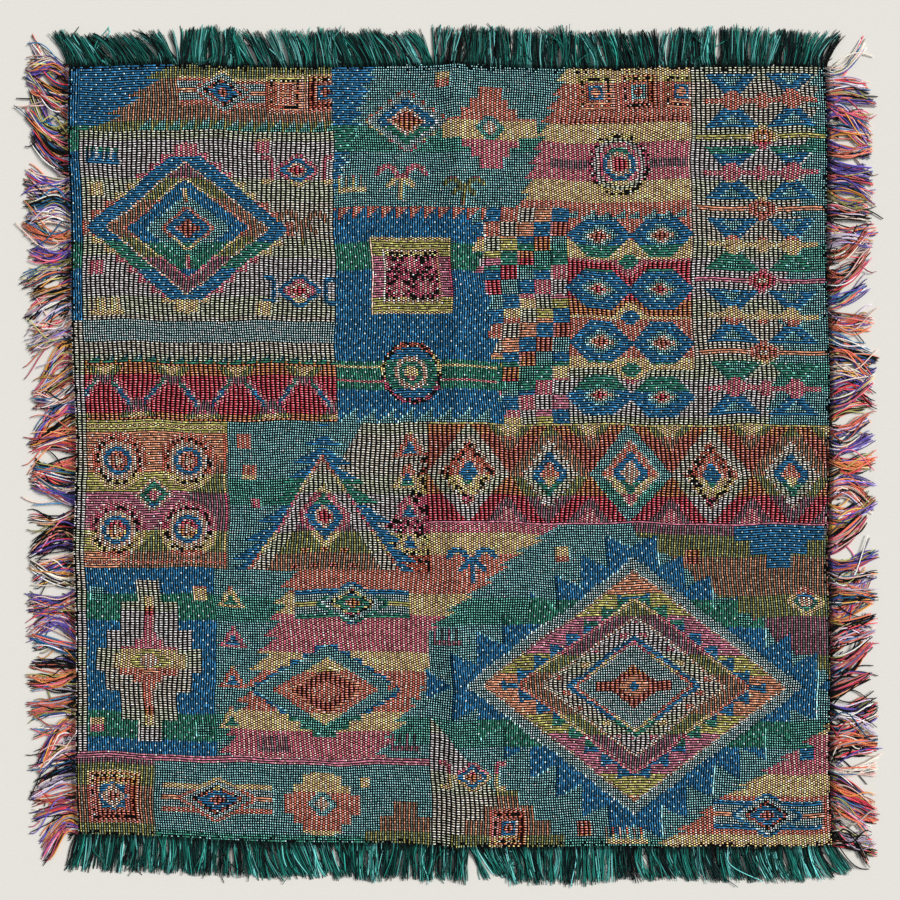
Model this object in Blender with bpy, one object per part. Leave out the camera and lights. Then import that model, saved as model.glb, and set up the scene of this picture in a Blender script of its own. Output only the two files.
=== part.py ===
"""A square woven placemat with a fringe on its four sides, lying on a table.

Units are metres, +Z is up and the table is at z = 0. +X is the mat's right-hand side and +Y its
far side, as it is laid. The origin is the middle of the whole outline, fringe included.

The cloth is one sheet. It was once folded in four, so a vertical and a level crease cross near
its middle, and a few low swells lift its edges. Each fringe is a narrow heading strip that lies
against the cloth's edge, with locks of yarn that stand apart beyond it and rest on the table.
"""

import math
import random
from collections import namedtuple

import bmesh
import bpy
from mathutils import Vector

MILLIMETRE = 0.001

# The cloth
CLOTH_THICKNESS = 1.8 * MILLIMETRE
GRID_STEP = 20.0 * MILLIMETRE
EDGE_GAP = 0.3 * MILLIMETRE

# Where the four corners of the cloth lie: the cut is a little out of square.
Corner = namedtuple("Corner", "x y")
FAR_LEFT = Corner(-0.2107, 0.2151)
FAR_RIGHT = Corner(0.2065, 0.2151)
NEAR_RIGHT = Corner(0.2109, -0.2140)
NEAR_LEFT = Corner(-0.2054, -0.2079)

# Each edge bows in whole half waves, so that it stays put at its corners.
EdgeWave = namedtuple("EdgeWave", "side half_waves height")
EDGE_WAVES = (
    EdgeWave("far", 2, 0.5 * MILLIMETRE),
    EdgeWave("far", 5, 0.7 * MILLIMETRE),
    EdgeWave("near", 1, 3.2 * MILLIMETRE),
    EdgeWave("near", 6, 0.6 * MILLIMETRE),
    EdgeWave("left", 3, 0.9 * MILLIMETRE),
    EdgeWave("left", 7, 0.6 * MILLIMETRE),
    EdgeWave("right", 2, 0.8 * MILLIMETRE),
    EdgeWave("right", 6, 0.7 * MILLIMETRE),
)

# A crease is a ridge along X or Y: sharp at its line, and gone at its reach on both sides.
Crease = namedtuple("Crease", "across line height reach")
CREASES = (
    Crease("x", 0.003, 2.6 * MILLIMETRE, 0.030),
    Crease("y", -0.014, 1.5 * MILLIMETRE, 0.034),
)

# A swell is a low round rise of the cloth, centred at x and y.
Swell = namedtuple("Swell", "x y height reach_x reach_y")
SWELLS = (
    Swell(-0.150, 0.215, 1.6 * MILLIMETRE, 0.040, 0.030),
    Swell(0.110, 0.218, 1.2 * MILLIMETRE, 0.055, 0.024),
    Swell(0.208, -0.030, 1.8 * MILLIMETRE, 0.060, 0.026),
    Swell(-0.206, -0.045, 1.5 * MILLIMETRE, 0.046, 0.032),
    Swell(-0.060, -0.060, 1.0 * MILLIMETRE, 0.046, 0.028),
    Swell(0.120, -0.216, 1.4 * MILLIMETRE, 0.050, 0.026),
)

# The fringes
HEADING_WIDTH = 2.0 * MILLIMETRE
HEADING_HEIGHT = 1.5 * MILLIMETRE
ROOT_SHARE = 0.84
TIP_SHARE = 0.46
TIP_HEIGHT = 0.8 * MILLIMETRE
LOCK_STATIONS = (0.35, 0.70, 1.0)
TOUCHDOWN = 0.30
LENGTH_SPREAD = 0.13
FRINGE_SEED = 11

Fringe = namedtuple("Fringe", "side start end locks reach colour")
FRINGES = (
    Fringe("far", FAR_LEFT, FAR_RIGHT, 60, 20.5 * MILLIMETRE, (0.010, 0.055, 0.050)),
    Fringe("near", NEAR_RIGHT, NEAR_LEFT, 60, 19.5 * MILLIMETRE, (0.016, 0.100, 0.092)),
    Fringe("left", NEAR_LEFT, FAR_LEFT, 52, 25.0 * MILLIMETRE, (0.300, 0.200, 0.205)),
    Fringe("right", FAR_RIGHT, NEAR_RIGHT, 52, 25.0 * MILLIMETRE, (0.250, 0.150, 0.150)),
)

# How far the locks lean sideways, as a share of their length: two slow waves along each side.
LeanWave = namedtuple("LeanWave", "side amount length start")
LEAN_WAVES = (
    LeanWave("far", 0.16, 0.170, 0.4),
    LeanWave("far", 0.10, 0.077, 2.1),
    LeanWave("near", 0.18, 0.150, 1.7),
    LeanWave("near", 0.10, 0.083, 0.2),
    LeanWave("left", 0.20, 0.140, 2.9),
    LeanWave("left", 0.12, 0.061, 0.9),
    LeanWave("right", 0.20, 0.155, 5.0),
    LeanWave("right", 0.12, 0.066, 2.4),
)

# Where a fringe parts: the locks on both sides of the place, a share of the side, lean away.
Parting = namedtuple("Parting", "side place lean reach")
PARTINGS = (
    Parting("far", 0.142, 0.30, 0.014),
    Parting("far", 0.485, 0.34, 0.012),
    Parting("far", 0.760, 0.20, 0.012),
    Parting("near", 0.480, 0.55, 0.018),
    Parting("near", 0.780, 0.22, 0.014),
    Parting("left", 0.190, 0.30, 0.016),
    Parting("left", 0.430, 0.34, 0.016),
    Parting("left", 0.700, 0.30, 0.014),
    Parting("left", 0.880, 0.26, 0.014),
    Parting("right", 0.170, 0.30, 0.014),
    Parting("right", 0.360, 0.34, 0.016),
    Parting("right", 0.560, 0.32, 0.014),
    Parting("right", 0.800, 0.36, 0.016),
)

CLOTH_COLOUR = (0.105, 0.130, 0.125)
YARN_ROUGHNESS = 0.85


def clear_scene():
    for item in list(bpy.data.objects):
        bpy.data.objects.remove(item)


def bump(distance):
    """1 at 0, falling smoothly to 0 at a distance of 1 and beyond."""
    near = max(0.0, 1.0 - distance * distance)
    return near * near


def ridge(distance):
    """1 at 0, falling in a sharp crest to 0 at a distance of 1 and beyond."""
    near = max(0.0, 1.0 - distance)
    return near * near


def lift(x, y):
    """How high the cloth's underside lies above the table at a place on the mat."""
    height = 0.0
    for crease in CREASES:
        away = (x if crease.across == "x" else y) - crease.line
        height += crease.height * ridge(abs(away) / crease.reach)
    for swell in SWELLS:
        away = math.hypot((x - swell.x) / swell.reach_x, (y - swell.y) / swell.reach_y)
        height += swell.height * bump(away)
    return height


def edge_bow(side, share):
    """How far an edge bows outwards at a share of its length."""
    waves = (wave for wave in EDGE_WAVES if wave.side == side)
    return sum(wave.height * math.sin(wave.half_waves * math.pi * share) for wave in waves)


def cloth_place(across, along):
    """The place on the mat of a point at shares of the way to the right and to the far side."""
    near = Vector(NEAR_LEFT).lerp(Vector(NEAR_RIGHT), across)
    far = Vector(FAR_LEFT).lerp(Vector(FAR_RIGHT), across)
    place = near.lerp(far, along)
    place.x += edge_bow("right", 1 - along) * across**4
    place.x -= edge_bow("left", along) * (1 - across) ** 4
    place.y += edge_bow("far", across) * along**4
    place.y -= edge_bow("near", 1 - across) * (1 - along) ** 4
    return place


def shares_with_crease(length, middle, crease):
    """Even steps over a length, with added lines at a crease's crest and at its two flanks."""
    count = round(length / GRID_STEP)
    even = [step / count for step in range(count + 1)]
    crest = 0.5 + (crease.line - middle) / length
    flanks = [crest + turn * crease.reach / length for turn in (-1, -0.5, -0.2, 0, 0.2, 0.5, 1)]
    kept = [share for share in even if min(abs(share - flank) for flank in flanks) > 0.3 / count]
    return sorted(kept + flanks)


def new_object(name, mesh_builder, colour):
    """An object from a bmesh, with faces out and a matt yarn material of its own."""
    mesh = bpy.data.meshes.new(name)
    bmesh.ops.recalc_face_normals(mesh_builder, faces=mesh_builder.faces)
    mesh_builder.to_mesh(mesh)
    mesh_builder.free()
    material = bpy.data.materials.new(name + "_yarn")
    material.use_nodes = True
    shader = material.node_tree.nodes["Principled BSDF"]
    shader.inputs["Base Color"].default_value = (*colour, 1.0)
    shader.inputs["Roughness"].default_value = YARN_ROUGHNESS
    shader.inputs["Metallic"].default_value = 0.0
    mesh.materials.append(material)
    item = bpy.data.objects.new(name, mesh)
    bpy.context.scene.collection.objects.link(item)
    return item


def make_cloth():
    """The sheet: its underside is a grid that follows the creases, thickened straight up."""
    width = FAR_RIGHT.x - FAR_LEFT.x
    length = FAR_LEFT.y - NEAR_LEFT.y
    columns = shares_with_crease(width, (FAR_RIGHT.x + FAR_LEFT.x) / 2, CREASES[0])
    rows = shares_with_crease(length, (FAR_LEFT.y + NEAR_LEFT.y) / 2, CREASES[1])
    cloth = bmesh.new()
    grid = []
    for along in rows:
        places = [cloth_place(across, along) for across in columns]
        grid.append([cloth.verts.new((p.x, p.y, lift(p.x, p.y))) for p in places])
    for low, high in zip(grid, grid[1:]):
        for left in range(len(columns) - 1):
            cloth.faces.new((low[left], low[left + 1], high[left + 1], high[left]))
    raised = bmesh.ops.extrude_face_region(cloth, geom=cloth.faces[:])["geom"]
    top = [item for item in raised if isinstance(item, bmesh.types.BMVert)]
    bmesh.ops.translate(cloth, verts=top, vec=(0, 0, CLOTH_THICKNESS))
    return new_object("cloth", cloth, CLOTH_COLOUR)


def lean_at(side, place, length):
    """How far a lock leans along its side at a distance from the side's start."""
    lean = 0.0
    for wave in LEAN_WAVES:
        if wave.side == side:
            lean += wave.amount * math.sin(2 * math.pi * place / wave.length + wave.start)
    for parting in PARTINGS:
        if parting.side == side:
            away = place - parting.place * length
            push = parting.lean * math.exp(-abs(away) / parting.reach)
            lean += math.copysign(push, away)
    ends = min(place, length - place) / length
    return lean * min(1.0, ends * 12)


def make_fringe(fringe, draws):
    """A heading strip beside one edge of the cloth, with locks drawn out of its outer face."""
    start, end = Vector(fringe.start), Vector(fringe.end)
    length = (end - start).length
    run = (end - start) / length
    outward = Vector((-run.y, run.x))
    if outward.dot(start + end) < 0:
        outward.negate()

    def spot(place, out, height):
        """A point at a distance along the edge, out from the edge and up from the table."""
        share = place / length
        bow = edge_bow(fringe.side, share)
        flat = start + run * place + outward * (bow + EDGE_GAP + out)
        return (flat.x, flat.y, height)

    def cloth_level(place):
        flat = start + run * place
        return lift(flat.x, flat.y)

    strip = bmesh.new()
    pitch = length / fringe.locks
    root = pitch * ROOT_SHARE
    rings = []
    for lock in range(fringe.locks):
        for place in (lock * pitch + (pitch - root) / 2, (lock + 1) * pitch - (pitch - root) / 2):
            low = cloth_level(place)
            high = low + HEADING_HEIGHT
            corners = ((0, low), (HEADING_WIDTH, low), (HEADING_WIDTH, high), (0, high))
            rings.append([strip.verts.new(spot(place, out, z)) for out, z in corners])
    strip.faces.new(rings[0])
    strip.faces.new(rings[-1])
    for index, (first, second) in enumerate(zip(rings, rings[1:])):
        strip.faces.new((first[0], second[0], second[1], first[1]))
        strip.faces.new((first[2], second[2], second[3], first[3]))
        strip.faces.new((first[3], second[3], second[0], first[0]))
        is_gap = index % 2 == 1
        if is_gap:
            strip.faces.new((first[1], second[1], second[2], first[2]))

    for lock in range(fringe.locks):
        first, second = rings[2 * lock], rings[2 * lock + 1]
        ring = [first[1], second[1], second[2], first[2]]
        middle = (lock + 0.5) * pitch
        lean = lean_at(fringe.side, middle, length)
        spread = draws.uniform(-LENGTH_SPREAD, LENGTH_SPREAD)
        reach = (fringe.reach - HEADING_WIDTH) * (1 - LENGTH_SPREAD + spread)
        for station in LOCK_STATIONS:
            half = root / 2 * (1 + (TIP_SHARE / ROOT_SHARE - 1) * station)
            centre = middle + lean * reach * station**1.4
            low = cloth_level(middle) * max(0.0, 1 - station / TOUCHDOWN)
            high = low + HEADING_HEIGHT + (TIP_HEIGHT - HEADING_HEIGHT) * station
            out = HEADING_WIDTH + reach * station
            corners = ((-half, low), (half, low), (half, high), (-half, high))
            following = [strip.verts.new(spot(centre + off, out, z)) for off, z in corners]
            for here in range(4):
                there = (here + 1) % 4
                strip.faces.new((ring[here], ring[there], following[there], following[here]))
            ring = following
        strip.faces.new(ring)
    return new_object("fringe_" + fringe.side, strip, fringe.colour)


def centre_outline(items):
    """Shifts the meshes so that the middle of their common outline is the origin."""
    points = [vertex.co for item in items for vertex in item.data.vertices]
    middle_x = (min(p.x for p in points) + max(p.x for p in points)) / 2
    middle_y = (min(p.y for p in points) + max(p.y for p in points)) / 2
    for point in points:
        point.x -= middle_x
        point.y -= middle_y


def main():
    clear_scene()
    draws = random.Random(FRINGE_SEED)
    items = [make_cloth()]
    items += [make_fringe(fringe, draws) for fringe in FRINGES]
    centre_outline(items)


main()
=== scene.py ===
"""Dresses the frame of a square woven placemat: the figured cloth and the fringes of its ends.

Units are metres, +Z is up and the table is at z = 0. +X is the mat's right-hand side and +Y its
far side. The cloth's figures are drawn on a weaver's chart of ends, counted from the left, and
picks, counted from the far edge. The fringes are loose yarns, combed out from the cloth's edges.
"""

from collections import namedtuple

import bpy
import numpy as np
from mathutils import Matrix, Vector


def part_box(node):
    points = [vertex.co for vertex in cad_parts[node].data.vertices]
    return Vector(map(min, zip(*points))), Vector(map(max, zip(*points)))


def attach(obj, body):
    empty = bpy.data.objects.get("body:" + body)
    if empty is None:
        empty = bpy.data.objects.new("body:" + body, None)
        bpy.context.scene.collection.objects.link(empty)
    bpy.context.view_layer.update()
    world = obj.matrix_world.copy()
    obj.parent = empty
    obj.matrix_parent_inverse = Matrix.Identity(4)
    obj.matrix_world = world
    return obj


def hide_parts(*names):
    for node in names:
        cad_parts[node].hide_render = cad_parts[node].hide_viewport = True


bl_info = {
    "name": "Woven Placemat",
    "version": (1, 0, 0),
    "blender": (4, 5, 0),
    "location": "3D View > Sidebar > Placemat",
    "description": "Weaves a fringed kilim placemat over its packed frame",
    "category": "Object",
}

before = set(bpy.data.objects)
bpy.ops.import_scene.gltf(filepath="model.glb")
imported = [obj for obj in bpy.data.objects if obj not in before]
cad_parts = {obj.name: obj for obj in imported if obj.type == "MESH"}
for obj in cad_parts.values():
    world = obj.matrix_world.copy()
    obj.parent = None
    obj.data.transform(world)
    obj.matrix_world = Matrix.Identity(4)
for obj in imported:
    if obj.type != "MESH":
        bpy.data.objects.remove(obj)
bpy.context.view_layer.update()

MILLIMETRE = 0.001
BODY = "root"

# The cloth's outline and lie, by the formula of the frame's cloth
Corner = namedtuple("Corner", "x y")
FAR_LEFT = Corner(-0.2107, 0.2151)
FAR_RIGHT = Corner(0.2065, 0.2151)
NEAR_RIGHT = Corner(0.2109, -0.2140)
NEAR_LEFT = Corner(-0.2054, -0.2079)

# Each edge bows in whole half waves, so that it stays put at its corners.
EdgeWave = namedtuple("EdgeWave", "side half_waves height")
EDGE_WAVES = (
    EdgeWave("far", 2, 0.5 * MILLIMETRE),
    EdgeWave("far", 5, 0.7 * MILLIMETRE),
    EdgeWave("near", 1, 3.2 * MILLIMETRE),
    EdgeWave("near", 6, 0.6 * MILLIMETRE),
    EdgeWave("left", 3, 0.9 * MILLIMETRE),
    EdgeWave("left", 7, 0.6 * MILLIMETRE),
    EdgeWave("right", 2, 0.8 * MILLIMETRE),
    EdgeWave("right", 6, 0.7 * MILLIMETRE),
)

# A crease is a ridge along X or Y: sharp at its line, and gone at its reach on both sides.
Crease = namedtuple("Crease", "across line height reach")
CREASES = (
    Crease("x", 0.003, 2.6 * MILLIMETRE, 0.030),
    Crease("y", -0.014, 1.5 * MILLIMETRE, 0.034),
    Crease("x", 0.003, 1.3 * MILLIMETRE, 0.010),
    Crease("y", -0.014, 0.7 * MILLIMETRE, 0.009),
)

# A swell is a low round rise of the cloth, centred at x and y.
Swell = namedtuple("Swell", "x y height reach_x reach_y")
SWELLS = (
    Swell(-0.150, 0.215, 1.6 * MILLIMETRE, 0.040, 0.030),
    Swell(0.110, 0.218, 1.2 * MILLIMETRE, 0.055, 0.024),
    Swell(0.208, -0.030, 1.8 * MILLIMETRE, 0.060, 0.026),
    Swell(-0.206, -0.045, 1.5 * MILLIMETRE, 0.046, 0.032),
    Swell(-0.060, -0.060, 1.0 * MILLIMETRE, 0.046, 0.028),
    Swell(0.120, -0.216, 1.4 * MILLIMETRE, 0.050, 0.026),
)

# Small ripples of the weave: how far its lines stray, sideways and in height.
Ripple = namedtuple("Ripple", "moves size length_x length_y start")
RIPPLES = (
    Ripple("x", 0.55 * MILLIMETRE, 0.300, 0.071, 0.4),
    Ripple("x", 0.32 * MILLIMETRE, 0.110, 0.031, 2.0),
    Ripple("y", 0.55 * MILLIMETRE, 0.083, 0.260, 1.1),
    Ripple("y", 0.30 * MILLIMETRE, 0.036, 0.140, 4.0),
    Ripple("z", 0.14 * MILLIMETRE, 0.047, 0.061, 0.7),
    Ripple("z", 0.10 * MILLIMETRE, 0.023, -0.031, 3.1),
    Ripple("z", 0.07 * MILLIMETRE, 0.013, 0.017, 5.2),
)

# The fringes, in the order of the frame's
Fringe = namedtuple("Fringe", "side start end reach tone")
WARP_FRINGES = (
    Fringe("far", FAR_LEFT, FAR_RIGHT, 20.5 * MILLIMETRE, 0.78),
    Fringe("near", NEAR_RIGHT, NEAR_LEFT, 19.5 * MILLIMETRE, 1.0),
)
WEFT_FRINGES = (
    Fringe("left", NEAR_LEFT, FAR_LEFT, 25.0 * MILLIMETRE, 1.0),
    Fringe("right", FAR_RIGHT, NEAR_RIGHT, 25.0 * MILLIMETRE, 1.0),
)

# How far the yarns lean sideways, as a share of their length, at shares of each side. Where two
# neighbours lean apart the fringe parts.
LEANS = {
    "far": (
        (0.000, -0.35), (0.017, -0.55), (0.057, -0.80), (0.109, -0.85), (0.144, -0.70),
        (0.154, 0.05), (0.208, 0.05), (0.225, -0.10), (0.235, -0.60), (0.280, -0.55),
        (0.307, -0.30), (0.347, -0.15), (0.386, -0.50), (0.439, -0.55), (0.481, -0.50),
        (0.490, 0.10), (0.518, 0.15), (0.570, 0.00), (0.650, -0.05), (0.702, -0.30),
        (0.755, -0.25), (0.781, -0.10), (0.794, 0.20), (0.834, -0.05), (0.887, 0.00),
        (0.953, 0.35), (1.000, 0.60),
    ),
    "near": (
        (0.000, -0.80), (0.045, -0.35), (0.177, -0.25), (0.243, -0.35), (0.283, -0.05),
        (0.362, -0.05), (0.428, -0.30), (0.474, -0.85), (0.483, 0.10), (0.555, 0.00),
        (0.573, 0.20), (0.613, 0.00), (0.666, -0.35), (0.719, -0.40), (0.785, -0.20),
        (0.818, 0.15), (0.851, 0.00), (0.917, 0.05), (0.970, 0.15), (1.000, 0.35),
    ),
    "left": (
        (0.000, -0.90), (0.040, -0.30), (0.060, -0.50), (0.110, -0.20), (0.124, -0.80),
        (0.143, -0.70), (0.160, -0.20), (0.190, 0.00), (0.220, 0.10), (0.254, 0.50),
        (0.280, 0.30), (0.320, 0.00), (0.390, -0.50), (0.410, -0.30), (0.430, 0.40),
        (0.475, 0.00), (0.507, 0.00), (0.533, -0.70), (0.559, -0.90), (0.585, -0.60),
        (0.630, -0.80), (0.657, -0.70), (0.676, -0.20), (0.709, -0.45), (0.741, -0.40),
        (0.761, -0.10), (0.793, 0.15), (0.848, 0.10), (0.857, 0.60), (0.891, 0.80),
        (0.969, 0.60), (1.000, 0.80),
    ),
    "right": (
        (0.000, -0.80), (0.020, -0.05), (0.045, 0.00), (0.060, 0.35), (0.100, 0.45),
        (0.120, 0.20), (0.180, 0.50), (0.200, 0.45), (0.210, 0.10), (0.235, -0.10),
        (0.255, -0.50), (0.290, -0.40), (0.320, -0.05), (0.340, 0.40), (0.365, 0.40),
        (0.380, -0.10), (0.425, -0.10), (0.445, -0.35), (0.490, -0.30), (0.510, 0.10),
        (0.560, -0.10), (0.585, -0.50), (0.610, -0.90), (0.630, -0.80), (0.640, 0.10),
        (0.670, 0.00), (0.700, -0.60), (0.730, -0.40), (0.790, -0.80), (0.810, -0.10),
        (0.840, -0.10), (0.860, -0.40), (0.890, 0.00), (0.910, 0.60), (0.950, 0.50),
        (1.000, 0.60),
    ),
}

# How a fringe is combed: the width of its locks and how far each gathers its yarns, how much
# locks and yarns lean and bend of themselves, the share of strays, how short the shortest yarn
# is, the share of yarns that have their lock's favourite colour, and the share of black stubs.
Comb = namedtuple("Comb", "lock gather lean bend splay strays shortest favour stubs")
WARP_COMB = Comb(2.6 * MILLIMETRE, 0.30, 0.05, 0.03, 0.09, 0.012, 0.84, 0.36, 0.08)
WEFT_COMB = Comb(5.6 * MILLIMETRE, 0.86, 0.18, 0.11, 0.06, 0.038, 0.74, 0.38, 0.16)

# How yarns differ in a fringe. Lock widths are shares of the comb's, and leans, bends and reaches
# are shares of the yarn's length. A yarn leans more towards its tip, by a power of the share along
# it, and its height falls from its root to its own level over the first FALL_SHARE.
LOCK_WIDTHS = (0.4, 1.6)
LOCK_REACH = 0.05
LONGEST_YARN = 1.02
STRAY_LEAN = 0.60
STRAY_BEND = 0.40
STRAY_REACH = 0.15
STUB_REACH = 0.26
STUB_BEND = 0.50
MOST_BEND = 0.30
BEND_WAVES = (0.8, 1.7)
GATHER_RATE = 1.8
LEAN_POWER = 1.4
LEAN_POWER_SPREAD = 0.3
TUCK = 1.6 * MILLIMETRE
ROOT_HEIGHTS = (0.25, 1.0)
LOCK_LEVEL = 0.7
YARN_LEVEL = 0.3
FALL_SHARE = 0.45
ARCH = 0.25 * MILLIMETRE
TIP_TAPER = 0.35
TWIST_LENGTH = 1.4 * MILLIMETRE

# Painted shade: a yarn is darkest where it leaves the cloth. Each yarn also differs in depth of dye.
ROOT_SHADE = 0.70
ROOT_STATIONS = 1.3
DYE_SPREAD = 0.42

# The chart. One polygon of the cloth's face takes FACE_ENDS ends and one pick.
ENDS = 320
PICKS = 326
CHART_SEED = 5
FACE_ENDS = 2
UNDERSIDE_STEP = 2

# The weft changes colour in bands that repeat every BAND_REPEAT picks.
BAND_REPEAT = 49.4
BAND_START = 31.2
GREEN_HALF = 0.115
STRAW_PLACES = (0.43, 0.93)
STRAW_HALF = 0.085
ROSE, STRAW, CORAL = range(3)

# How a weave shows: the dark gap between its dashes, across and along the ends as shares of a
# cell, whether every other end is shifted half a pick, whether a dash floats over two ends, and
# how far its yarns stand proud.
NO_GAP = -0.3
Weave = namedtuple("Weave", "name gap_across gap_along shift float proud")
WEAVES = (
    Weave("net", 0.66, 0.58, 0, 0, 0.0),
    Weave("upright", 0.62, 0.34, 0, 0, 0.0),
    Weave("float", 0.44, 0.66, 0, 1, 0.10 * MILLIMETRE),
    Weave("zigzag", 0.34, 0.56, 1, 0, 0.14 * MILLIMETRE),
    Weave("rib", NO_GAP, 0.60, 0, 0, 0.05 * MILLIMETRE),
    Weave("cord", 0.60, NO_GAP, 0, 0, 0.05 * MILLIMETRE),
)

# A filling is a weave with the yarn that it shows in rose, straw and coral bands, the one that
# it shows instead in green rows, the one that lies beside it in every other end and how far that
# one is tinted as its neighbour, the one of its specks, the one behind its gaps, and the filling
# that shows on the cloth's other side.
Filling = namedtuple(
    "Filling", "name weave rose straw coral green mate tint speck ground reverse"
)
FILLINGS = (
    Filling("teal", "net", "aqua", "aqua", "aqua", "sea", "", 0, "", "deep_teal", "brown"),
    Filling("aqua", "net", "mist", "mist", "mist", "mist", "", 0, "", "deep_teal", "ash"),
    Filling("ash", "float", "ash_rose", "ash_straw", "ash_coral", "", "", 0, "", "black", "teal"),
    Filling("pale", "zigzag", "cream", "cream", "cream", "", "taupe", 0.1, "", "black", "blue"),
    Filling("blue", "rib", "blue", "blue", "blue", "green", "", 0, "haze", "navy", "pink"),
    Filling("blue_cord", "cord", "blue", "blue", "blue", "green", "", 0, "haze", "navy", "pink"),
    Filling("pink", "zigzag", "rose", "straw", "coral", "", "bisque", 0.3, "", "wine", "blue"),
    Filling("motley", "zigzag", "rose", "straw", "coral", "", "soot", 0, "cream", "black", "ash"),
    # On the red floats the pale pink mate takes one end of each dash: partly a pinkish yarn and partly
    # a painted highlight on that end of the dash.
    Filling("red", "float", "crimson", "amber", "rust", "", "blush", 0.4, "", "garnet", "teal"),
    Filling("brown", "rib", "mauve", "olive", "taupe", "", "", 0, "bisque", "soot", "teal"),
    Filling("brown_net", "upright", "mauve", "olive", "taupe", "", "slate", 0.2, "", "soot", "aqua"),
    Filling("black", "float", "black", "black", "black", "", "", 0, "", "black", "black"),
)
FILLING_NUMBER = {filling.name: number for number, filling in enumerate(FILLINGS)}

# Specks of the ribs, one in so many ends and picks, and the gaps that make them short
SPECK_ENDS = 4
SPECK_PICKS = 2
SPECK_GAP = 0.42

# Unevenness of the weave: the share of dark dashes where it is motley, the mean and the spread of
# each cell's shade, and how far a crossing strays
MOTLEY_SHARE = 0.42
CELL_SHADE = -0.04
CELL_SHADE_SPREAD = 0.36
CELL_STRAY = 0.09 * MILLIMETRE

# The edges: ripples fade out over one part in RIPPLE_FADE of a side, and the face's rim lies lower
# by a share of the thickness
RIPPLE_FADE = 30
RIM_DROP = 0.25
SHARP_ANGLE = 50

# Yarns in a fringe, with the share of each. Black is partly the fringe's own black yarn and partly
# painted shade: extra black yarns standing for the shadow between yarns and locks.
Strand = namedtuple("Strand", "yarn share")
WARP_STRANDS = (
    Strand("pine", 0.30),
    Strand("deep_teal", 0.16),
    Strand("jade", 0.26),
    Strand("turquoise", 0.12),
    Strand("black", 0.16),
)
WEFT_STRANDS = (
    Strand("rose", 0.08),
    Strand("coral", 0.11),
    Strand("orange", 0.06),
    Strand("crimson", 0.06),
    Strand("blue", 0.11),
    Strand("violet", 0.14),
    Strand("lilac", 0.09),
    Strand("bisque", 0.11),
    Strand("cream", 0.08),
    Strand("amber", 0.06),
    Strand("olive", 0.08),
    Strand("black", 0.30),
)
FRINGE_SEED = 23
YARN_SIDES = 4
YARN_STATIONS = 11

# The UV maps. The bake map gives the cloth's face its lower part, then the underside and the rim,
# and each loose yarn a strip of its own.
BAKE_MAP = "OFBake"
WEAVE_MAP = "weave"
STRAND_MAP = "strand"
FACE_PART = 0.80
RIM_PART = 0.02
MAP_MARGIN = 0.006
STRIP_COLUMNS = 64

# The finishes: the scales of their noise, the blur of a dash's edge as a share of a cell, and how
# deep the twist of a loose yarn is
CLOTH_FIBRES = 2600.0
CLOTH_TONES = 38.0
YARN_FIBRES = 1800.0
FLOOR_GRAIN = 900.0
SOFT_EDGE = 0.08
YARN_RELIEF = 0.12 * MILLIMETRE

# The stage: a pale floor, a faint sky, a soft sun from the far right and a camera straight above
FLOOR_SIZE = 6.0
FLOOR_DARK = (212, 209, 202)
FLOOR_PALE = (222, 219, 213)
SKY_COLOUR = (0.93, 0.96, 1.0, 1.0)
SKY_STRENGTH = 0.36
SUN_COLOUR = (1.0, 0.99, 0.97)
SUN_ENERGY = 3.8
SUN_ANGLE = 0.5
SUN_PLACE = (0.95, 0.45, 0.95)
CAMERA_PLACE = (-0.0003, 0.0039)
CAMERA_HEIGHT = 0.507
VIEW_WIDTH = 0.495
SENSOR_WIDTH = 36.0


def screen_colour(red, green, blue):
    """A screen colour of three bytes, as the amounts of light that shaders work in."""
    shares = [part / 255 for part in (red, green, blue)]
    return tuple(((s + 0.055) / 1.055) ** 2.4 if s > 0.04045 else s / 12.92 for s in shares)


def dye(name, *screen):
    """A colour property for one dyed yarn."""
    return bpy.props.FloatVectorProperty(
        name=name,
        description=f"Colour of the {name.lower()} yarn",
        size=3,
        subtype="COLOR",
        min=0.0,
        max=1.0,
        default=screen_colour(*screen),
    )


def length(name, description, default):
    """A length property in metres."""
    return bpy.props.FloatProperty(
        name=name, description=description, default=default, min=0.0, unit="LENGTH", precision=5
    )


class YarnDyes(bpy.types.PropertyGroup):
    """The colours of the yarns."""

    aqua: dye("Aqua", 166, 230, 234)
    sea: dye("Sea", 128, 212, 194)
    mist: dye("Mist", 212, 250, 252)
    deep_teal: dye("Deep teal", 2, 24, 28)
    ash_rose: dye("Ash rose", 222, 212, 212)
    ash_straw: dye("Ash straw", 212, 216, 188)
    ash_coral: dye("Ash coral", 222, 212, 196)
    cream: dye("Cream", 244, 232, 216)
    bisque: dye("Bisque", 236, 200, 186)
    haze: dye("Haze", 180, 206, 212)
    blue: dye("Blue", 44, 102, 142)
    green: dye("Green", 52, 116, 94)
    navy: dye("Navy", 2, 16, 28)
    rose: dye("Rose", 204, 94, 118)
    straw: dye("Straw", 238, 210, 136)
    coral: dye("Coral", 206, 106, 86)
    wine: dye("Wine", 34, 10, 12)
    crimson: dye("Crimson", 230, 66, 82)
    # Partly a pale pink yarn and partly a painted highlight on the red floats.
    blush: dye("Blush", 232, 158, 166)
    amber: dye("Amber", 222, 150, 74)
    rust: dye("Rust", 200, 114, 78)
    garnet: dye("Garnet", 40, 4, 8)
    mauve: dye("Mauve", 176, 106, 126)
    olive: dye("Olive", 166, 160, 92)
    taupe: dye("Taupe", 202, 136, 106)
    slate: dye("Slate", 96, 122, 116)
    soot: dye("Soot", 20, 18, 16)
    black: dye("Black", 10, 11, 12)
    pine: dye("Pine", 10, 62, 56)
    jade: dye("Jade", 34, 126, 114)
    turquoise: dye("Turquoise", 108, 196, 192)
    orange: dye("Orange", 236, 128, 88)
    violet: dye("Violet", 92, 76, 156)
    lilac: dye("Lilac", 186, 172, 194)


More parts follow.
